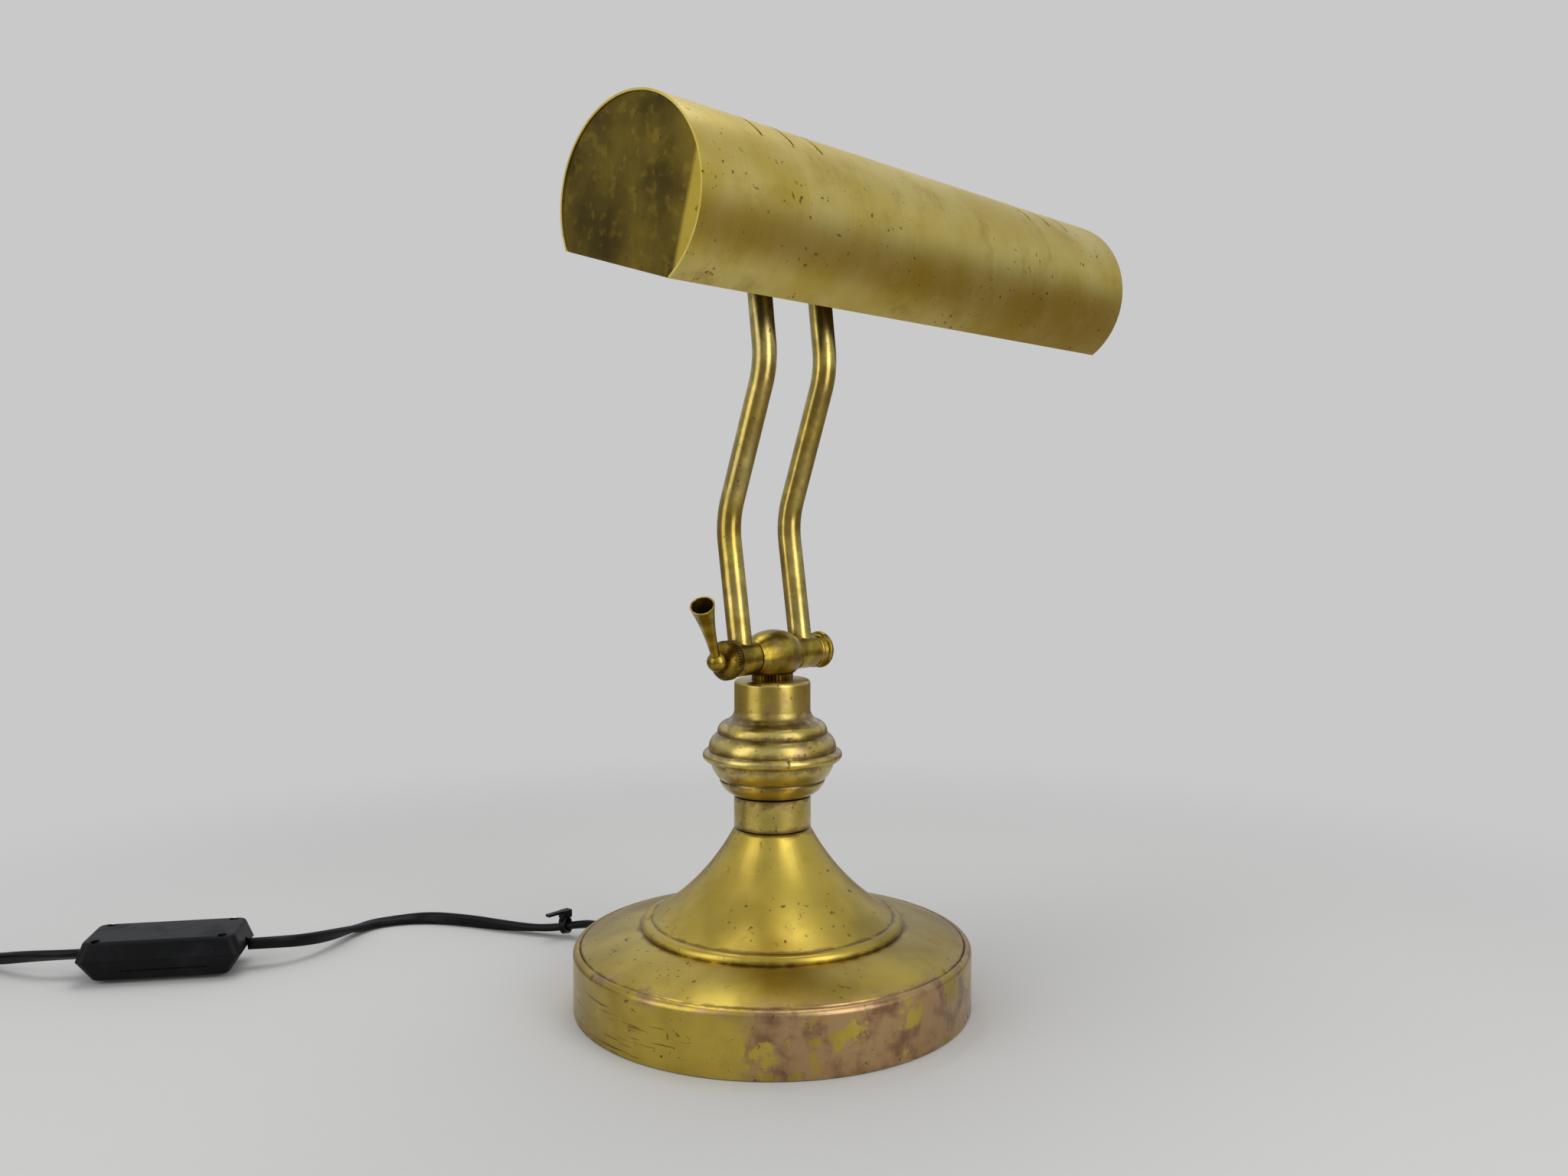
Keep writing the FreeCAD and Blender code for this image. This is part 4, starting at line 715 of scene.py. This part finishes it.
def relief_ribs(material):
    """Moulded rings round the tapered sleeve where the flex leaves the base."""
    low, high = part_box("strain_relief")
    middle = (low + high) / 2
    root = (high.x - low.x) / 2
    count, tip_share = 7, 0.78
    sunk, half_thick = 0.1 * MM, 0.55 * MM
    shares = [(k + 1) / (count + 1) for k in range(count)]
    places = [(middle.x, low.y + (high.y - low.y) * share, middle.z) for share in shares]
    sizes = [1 - (1 - tip_share) * share for share in shares]
    shape = ring_shape("rib", (0, 1, 0), root - sunk, half_thick, material)
    return repeated("relief_ribs", places, sizes, shape, material, "base")


def switch_place(along, across, z):
    """A point of the switch's own drawing, on the table."""
    heading = switch_heading()
    side = Vector((-heading.y, heading.x, 0))
    return Vector((SWITCH_CENTRE.x, SWITCH_CENTRE.y, z)) + heading * along + side * across


def screw_shape(material):
    """Round head with a cross recess, as one small mesh at the origin, top at zero."""
    radius, thick, recess, half_slot = 1.6 * MM, 0.9 * MM, 0.5 * MM, 0.336 * MM
    arm_reach, core_reach, floor_share, steps = 0.62, 0.30, 0.9, 32
    rim = [Vector((radius * c, radius * s, 0)) for c, s in circle(steps)]
    low = [p - Vector((0, 0, thick)) for p in rim]
    mouth = []
    for p in rim:
        in_arm = min(abs(p.x), abs(p.y)) < half_slot
        mouth.append(p * (arm_reach if in_arm else core_reach))
    floor = [Vector((p.x * floor_share, p.y * floor_share, -recess)) for p in mouth]
    return tube_mesh("screw", [low, rim, mouth, floor], material)


def make_switch(finish):
    """The switch's shells and rocker, its screws and the cable tie."""
    finish_nodes(["switch_back", "switch_front", "switch_rocker"],
                 black_plastic("black_switch_plastic", finish, 0.46, 0.35, 0.45))
    finish_nodes(["rocker_pin"], zinc_steel())
    finish_nodes(["cable_tie"], black_plastic("black_nylon", finish, 0.38, 0.8, 0.2))
    dark = bright_metal("browned_screw_steel", "#3B3A37", "#5D5A54", (0.35, 0.47))
    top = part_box("switch_screws")[1].z
    places = [switch_place(u * SCREW_ALONG, v * SCREW_ACROSS, top) for u in (-1, 1) for v in (-1, 1)]
    screws = repeated("switch_screw_heads", places, [1.0] * len(places), screw_shape(dark), dark, "base")
    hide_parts("switch_screws")


def make_brass(finish):
    """All the brass of the lamp, each with the marks of how it was made."""
    base = brass("spun_brass_base", finish, (0.33, 0.47), turned_marks,
                 ground=(finish.brass, finish.brass_deep), blush=skirt_blush, fleck_edge=0.65,
                 scratches=skirt_scratches, grooves=BASE_GROOVES, lacquer=0.25)
    column = brass("polished_brass_column", finish, (0.30, 0.46), turned_marks, oiled=0.20,
                   blush=rubbed_places, fleck_edge=0.645, grooves=COLUMN_GROOVES, lacquer=0.55)
    tube = brass("polished_brass_tube", finish, (0.26, 0.40), tube_marks, oiled=0.40, fleck_edge=0.68,
                 lacquer=0.5)
    pivot = brass("oiled_brown_brass", finish, (0.28, 0.46), barrel_marks,
                  ground=(finish.brass_deep, finish.brass), oiled=0.62, blush=rubbed_places,
                  fleck_edge=0.62)
    dark = brass("blackened_brass_knurl", finish, (0.34, 0.50), barrel_marks,
                 ground=(finish.oil, finish.brass_deep), oiled=1.0, fleck_edge=0.62)
    shade = brass("brushed_brass_sheet", finish, (0.37, 0.47), shade_marks, crowded=rim_and_ends)
    finish_nodes(["base_shell"], base)
    finish_nodes(["column_collar", "bulb_lower_cup", "bulb_upper_dome", "socket_sleeve"], column)
    finish_nodes(["left_arm_tube", "right_arm_tube"], tube)
    finish_nodes(["pivot_barrel", "left_knuckle", "right_knuckle", "end_cap", "clamp_lever"], pivot)
    finish_nodes(["collar_seat", "locknut", "friction_washers", "pivot_washer", "knurled_head"], dark)
    finish_nodes(["shade_body"], shade)
    finish_nodes(["shade_left_cap", "shade_right_cap"], patina_plate(finish))


def make_inside(finish):
    """Steel, iron, felt, lampholder and bulb."""
    finish_nodes(["base_cover", "weight_spider", "rod_nut", "cover_nut", "threaded_rod", "clamp_screw",
                  "arm_bridge", "arm_nipples", "arm_top_nuts", "tilt_bolt", "tilt_nut", "shade_saddle"],
                 zinc_steel())
    finish_nodes(["base_weight"], cast_iron())
    finish_nodes(["felt_pad"], wool_felt())
    finish_nodes(["lampholder"], black_plastic("black_holder_plastic", finish, 0.40, 0.5, 0.15))
    finish_nodes(["bulb_cap"], bright_metal("bulb_cap_alloy", "#B5B4B0", "#DAD9D5", (0.22, 0.34)))
    finish_nodes(["bulb_glass"], clear_glass())
    make_filament()


def make_filament():
    """Fine coiled wire on two stiff leads, held inside the tubular glass."""
    low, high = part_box("bulb_glass")
    middle = (low + high) / 2
    lead_start, lead_end = low.x - 4 * MM, high.x - 6 * MM
    coil_start, coil_end = low.x + 9 * MM, high.x - 14 * MM
    turns, steps_per_turn, wire_sides = 46, 8, 6
    sway, wire_radius = 0.8 * MM, 0.15 * MM
    line = [Vector((lead_start, middle.y, middle.z))]
    for k in range(turns * steps_per_turn + 1):
        a = 2 * math.pi * k / steps_per_turn
        x = coil_start + (coil_end - coil_start) * k / (turns * steps_per_turn)
        line.append(Vector((x, middle.y + sway * math.cos(a), middle.z + sway * math.sin(a))))
    line.append(Vector((lead_end, middle.y, middle.z)))
    rings = []
    for i, here in enumerate(line):
        along = (line[min(i + 1, len(line) - 1)] - line[max(i - 1, 0)]).normalized()
        side = along.orthogonal().normalized()
        up = along.cross(side)
        rings.append([here + (side * c + up * s) * wire_radius for c, s in circle(wire_sides)])
    tungsten = bright_metal("tungsten_wire", "#6D6A66", "#8E8A85", (0.35, 0.47))
    piece = tube_mesh("bulb_filament", rings, tungsten)
    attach(piece, "shade")


# Stage: softboxes have a name, place, aim, width and height in metres, and watts

SOFTBOXES = [
    ("right_window", (-0.087, -0.744, 0.47), (0, 0, 0.43), 0.42, 0.90, 2.9),
    ("left_window", (-0.725, 0.190, 0.47), (0, 0, 0.43), 0.44, 0.90, 2.0),
    ("top_softbox", (0.25, 0.15, 1.6), (0.05, 0, 0.1), 1.0, 1.0, 9),
]
FLOOR_HALF = 30.0
LIT_RADIUS = 0.30
GLOW_RADIUS = 0.58


def softbox(name, place, aim, width, height, power):
    """A rectangular light that faces a point."""
    data = bpy.data.lights.new(name, "AREA")
    data.shape = "RECTANGLE"
    data.size = width
    data.size_y = height
    data.energy = power
    lamp = bpy.data.objects.new(name, data)
    lamp.location = place
    lamp.rotation_euler = (Vector(aim) - Vector(place)).to_track_quat("-Z", "Y").to_euler()
    bpy.context.scene.collection.objects.link(lamp)


def paper_floor(stage):
    """Pale paper: lit near the lamp, so that it keeps the shadow, and an even glow further off.

    The glow is weaker and warmer in reflections, as far paper that gets little light would be.
    """
    material, tree, shader, place = new_material("pale_paper")
    shader.inputs["Specular IOR Level"].default_value = 0.1
    shader.inputs["Roughness"].default_value = 0.9
    fibre = patches(tree, place, 0.002, 0.2, 0.8, detail=4.0)
    tone = laid_over(tree, linear("#C2C1BF"), linear("#BAB9B7"), fibre, 0.2)
    tree.links.new(tone, shader.inputs["Base Color"])
    mirrored = add(tree, "ShaderNodeLightPath").outputs["Is Glossy Ray"]
    strength = add(tree, "ShaderNodeMapRange", {"Value": mirrored, "To Min": 1.0, "To Max": 0.38})
    tint = laid_over(tree, stage.floor, linear("#C9B494"), mirrored)
    glow = add(tree, "ShaderNodeEmission", {"Color": tint, "Strength": strength.outputs["Result"]})
    far = add(tree, "ShaderNodeMapRange", {"Value": axis_distance(tree, place), "From Min": LIT_RADIUS,
                                           "From Max": GLOW_RADIUS}, interpolation_type="SMOOTHSTEP")
    mix = add(tree, "ShaderNodeMixShader", {"Fac": far.outputs["Result"], 1: shader.outputs["BSDF"],
                                            2: glow.outputs["Emission"]})
    tree.links.new(mix.outputs["Shader"], tree.nodes["Material Output"].inputs["Surface"])
    return material


def soft_room(stage):
    """A plain backdrop to look at, and a room that is dim low down and pale above to be lit by."""
    world = bpy.data.worlds.new("soft_room")
    world.use_nodes = True
    tree = world.node_tree
    tree.nodes.clear()
    path = add(tree, "ShaderNodeLightPath")
    seen = add(tree, "ShaderNodeMath", {0: path.outputs["Is Camera Ray"],
                                        1: path.outputs["Is Transmission Ray"]}, operation="MAXIMUM")
    backdrop = add(tree, "ShaderNodeBackground", {"Color": stage.floor, "Strength": 1.0})
    way = add(tree, "ShaderNodeTexCoord")
    parts = add(tree, "ShaderNodeSeparateXYZ", {"Vector": way.outputs["Generated"]})
    height = add(tree, "ShaderNodeMapRange", {"Value": parts.outputs["Z"], "From Min": -0.20,
                                              "From Max": 0.34}, interpolation_type="SMOOTHSTEP")
    tone = laid_over(tree, linear("#5F5B55"), linear("#D9DBDE"), height.outputs["Result"])
    room = add(tree, "ShaderNodeBackground", {"Color": tone, "Strength": 0.85})
    mix = add(tree, "ShaderNodeMixShader", {"Fac": seen.outputs["Value"], 1: room.outputs["Background"],
                                            2: backdrop.outputs["Background"]})
    add(tree, "ShaderNodeOutputWorld", {"Surface": mix.outputs["Shader"]})
    return world


def photo_camera(stage):
    """Camera where the photo was taken from."""
    data = bpy.data.cameras.new("camera")
    data.sensor_width = 36.0
    data.lens = stage.lens
    data.clip_start = 0.01
    camera = bpy.data.objects.new("camera", data)
    camera.location = stage.eye
    camera.rotation_euler = Vector(stage.look).to_track_quat("-Z", "Y").to_euler()
    bpy.context.scene.collection.objects.link(camera)
    return camera


def make_stage(stage):
    """Floor, room, softboxes and camera."""
    side = FLOOR_HALF
    corners = [(-side, -side, 0), (side, -side, 0), (side, side, 0), (-side, side, 0)]
    floor = mesh_object("paper_floor", corners, [(0, 1, 2, 3)], paper_floor(stage), smooth=False)
    for settings in SOFTBOXES:
        softbox(*settings)
    scene = bpy.context.scene
    scene.world = soft_room(stage)
    scene.camera = photo_camera(stage)
    scene.view_settings.view_transform = "Standard"


# Operators

class LAMP_OT_stage(bpy.types.Operator):
    """Floor, soft light and camera"""
    bl_idname = "lamp.stage"
    bl_label = "Stage"

    def execute(self, context):
        make_stage(context.scene.lamp_stage)
        return {"FINISHED"}


class LAMP_OT_cords(bpy.types.Operator):
    """Flat twin flex to the switch, and on through its coil to the plug"""
    bl_idname = "lamp.cords"
    bl_label = "Flex and plug"

    def execute(self, context):
        make_cords(context.scene.lamp_finish, context.scene.lamp_flex)
        return {"FINISHED"}


class LAMP_OT_switch(bpy.types.Operator):
    """Inline switch with its sunk screws"""
    bl_idname = "lamp.switch"
    bl_label = "Inline switch"

    def execute(self, context):
        make_switch(context.scene.lamp_finish)
        return {"FINISHED"}


class LAMP_OT_brass(bpy.types.Operator):
    """Finish of the base, column, pivot, arms and shade"""
    bl_idname = "lamp.brass"
    bl_label = "Brass"

    def execute(self, context):
        make_brass(context.scene.lamp_finish)
        return {"FINISHED"}


class LAMP_OT_inside(bpy.types.Operator):
    """Steel, iron, felt, lampholder and bulb"""
    bl_idname = "lamp.inside"
    bl_label = "Inner pieces"

    def execute(self, context):
        make_inside(context.scene.lamp_finish)
        return {"FINISHED"}


class LAMP_PT_panel(bpy.types.Panel):
    """Steps that dress the lamp"""
    bl_idname = "LAMP_PT_panel"
    bl_label = "Piano lamp"
    bl_space_type = "VIEW_3D"
    bl_region_type = "UI"
    bl_category = "Piano lamp"

    def draw(self, context):
        for operator in OPERATORS:
            self.layout.operator(operator.bl_idname)
        for group in (context.scene.lamp_finish, context.scene.lamp_flex, context.scene.lamp_stage):
            for name in group.__annotations__:
                self.layout.prop(group, name)


OPERATORS = (LAMP_OT_stage, LAMP_OT_cords, LAMP_OT_switch, LAMP_OT_brass, LAMP_OT_inside)
GROUPS = {"lamp_finish": LampFinish, "lamp_flex": LampFlex, "lamp_stage": LampStage}


def register():
    for group in GROUPS.values():
        bpy.utils.register_class(group)
    for name, group in GROUPS.items():
        setattr(bpy.types.Scene, name, bpy.props.PointerProperty(type=group))
    for operator in OPERATORS:
        bpy.utils.register_class(operator)
    bpy.utils.register_class(LAMP_PT_panel)


def unregister():
    bpy.utils.unregister_class(LAMP_PT_panel)
    for operator in reversed(OPERATORS):
        bpy.utils.unregister_class(operator)
    for name, group in GROUPS.items():
        delattr(bpy.types.Scene, name)
        bpy.utils.unregister_class(group)


def main():
    register()
    bpy.ops.lamp.stage()
    bpy.ops.lamp.cords()
    bpy.ops.lamp.switch()
    bpy.ops.lamp.brass()
    bpy.ops.lamp.inside()


if __name__ == "__main__":
    main()
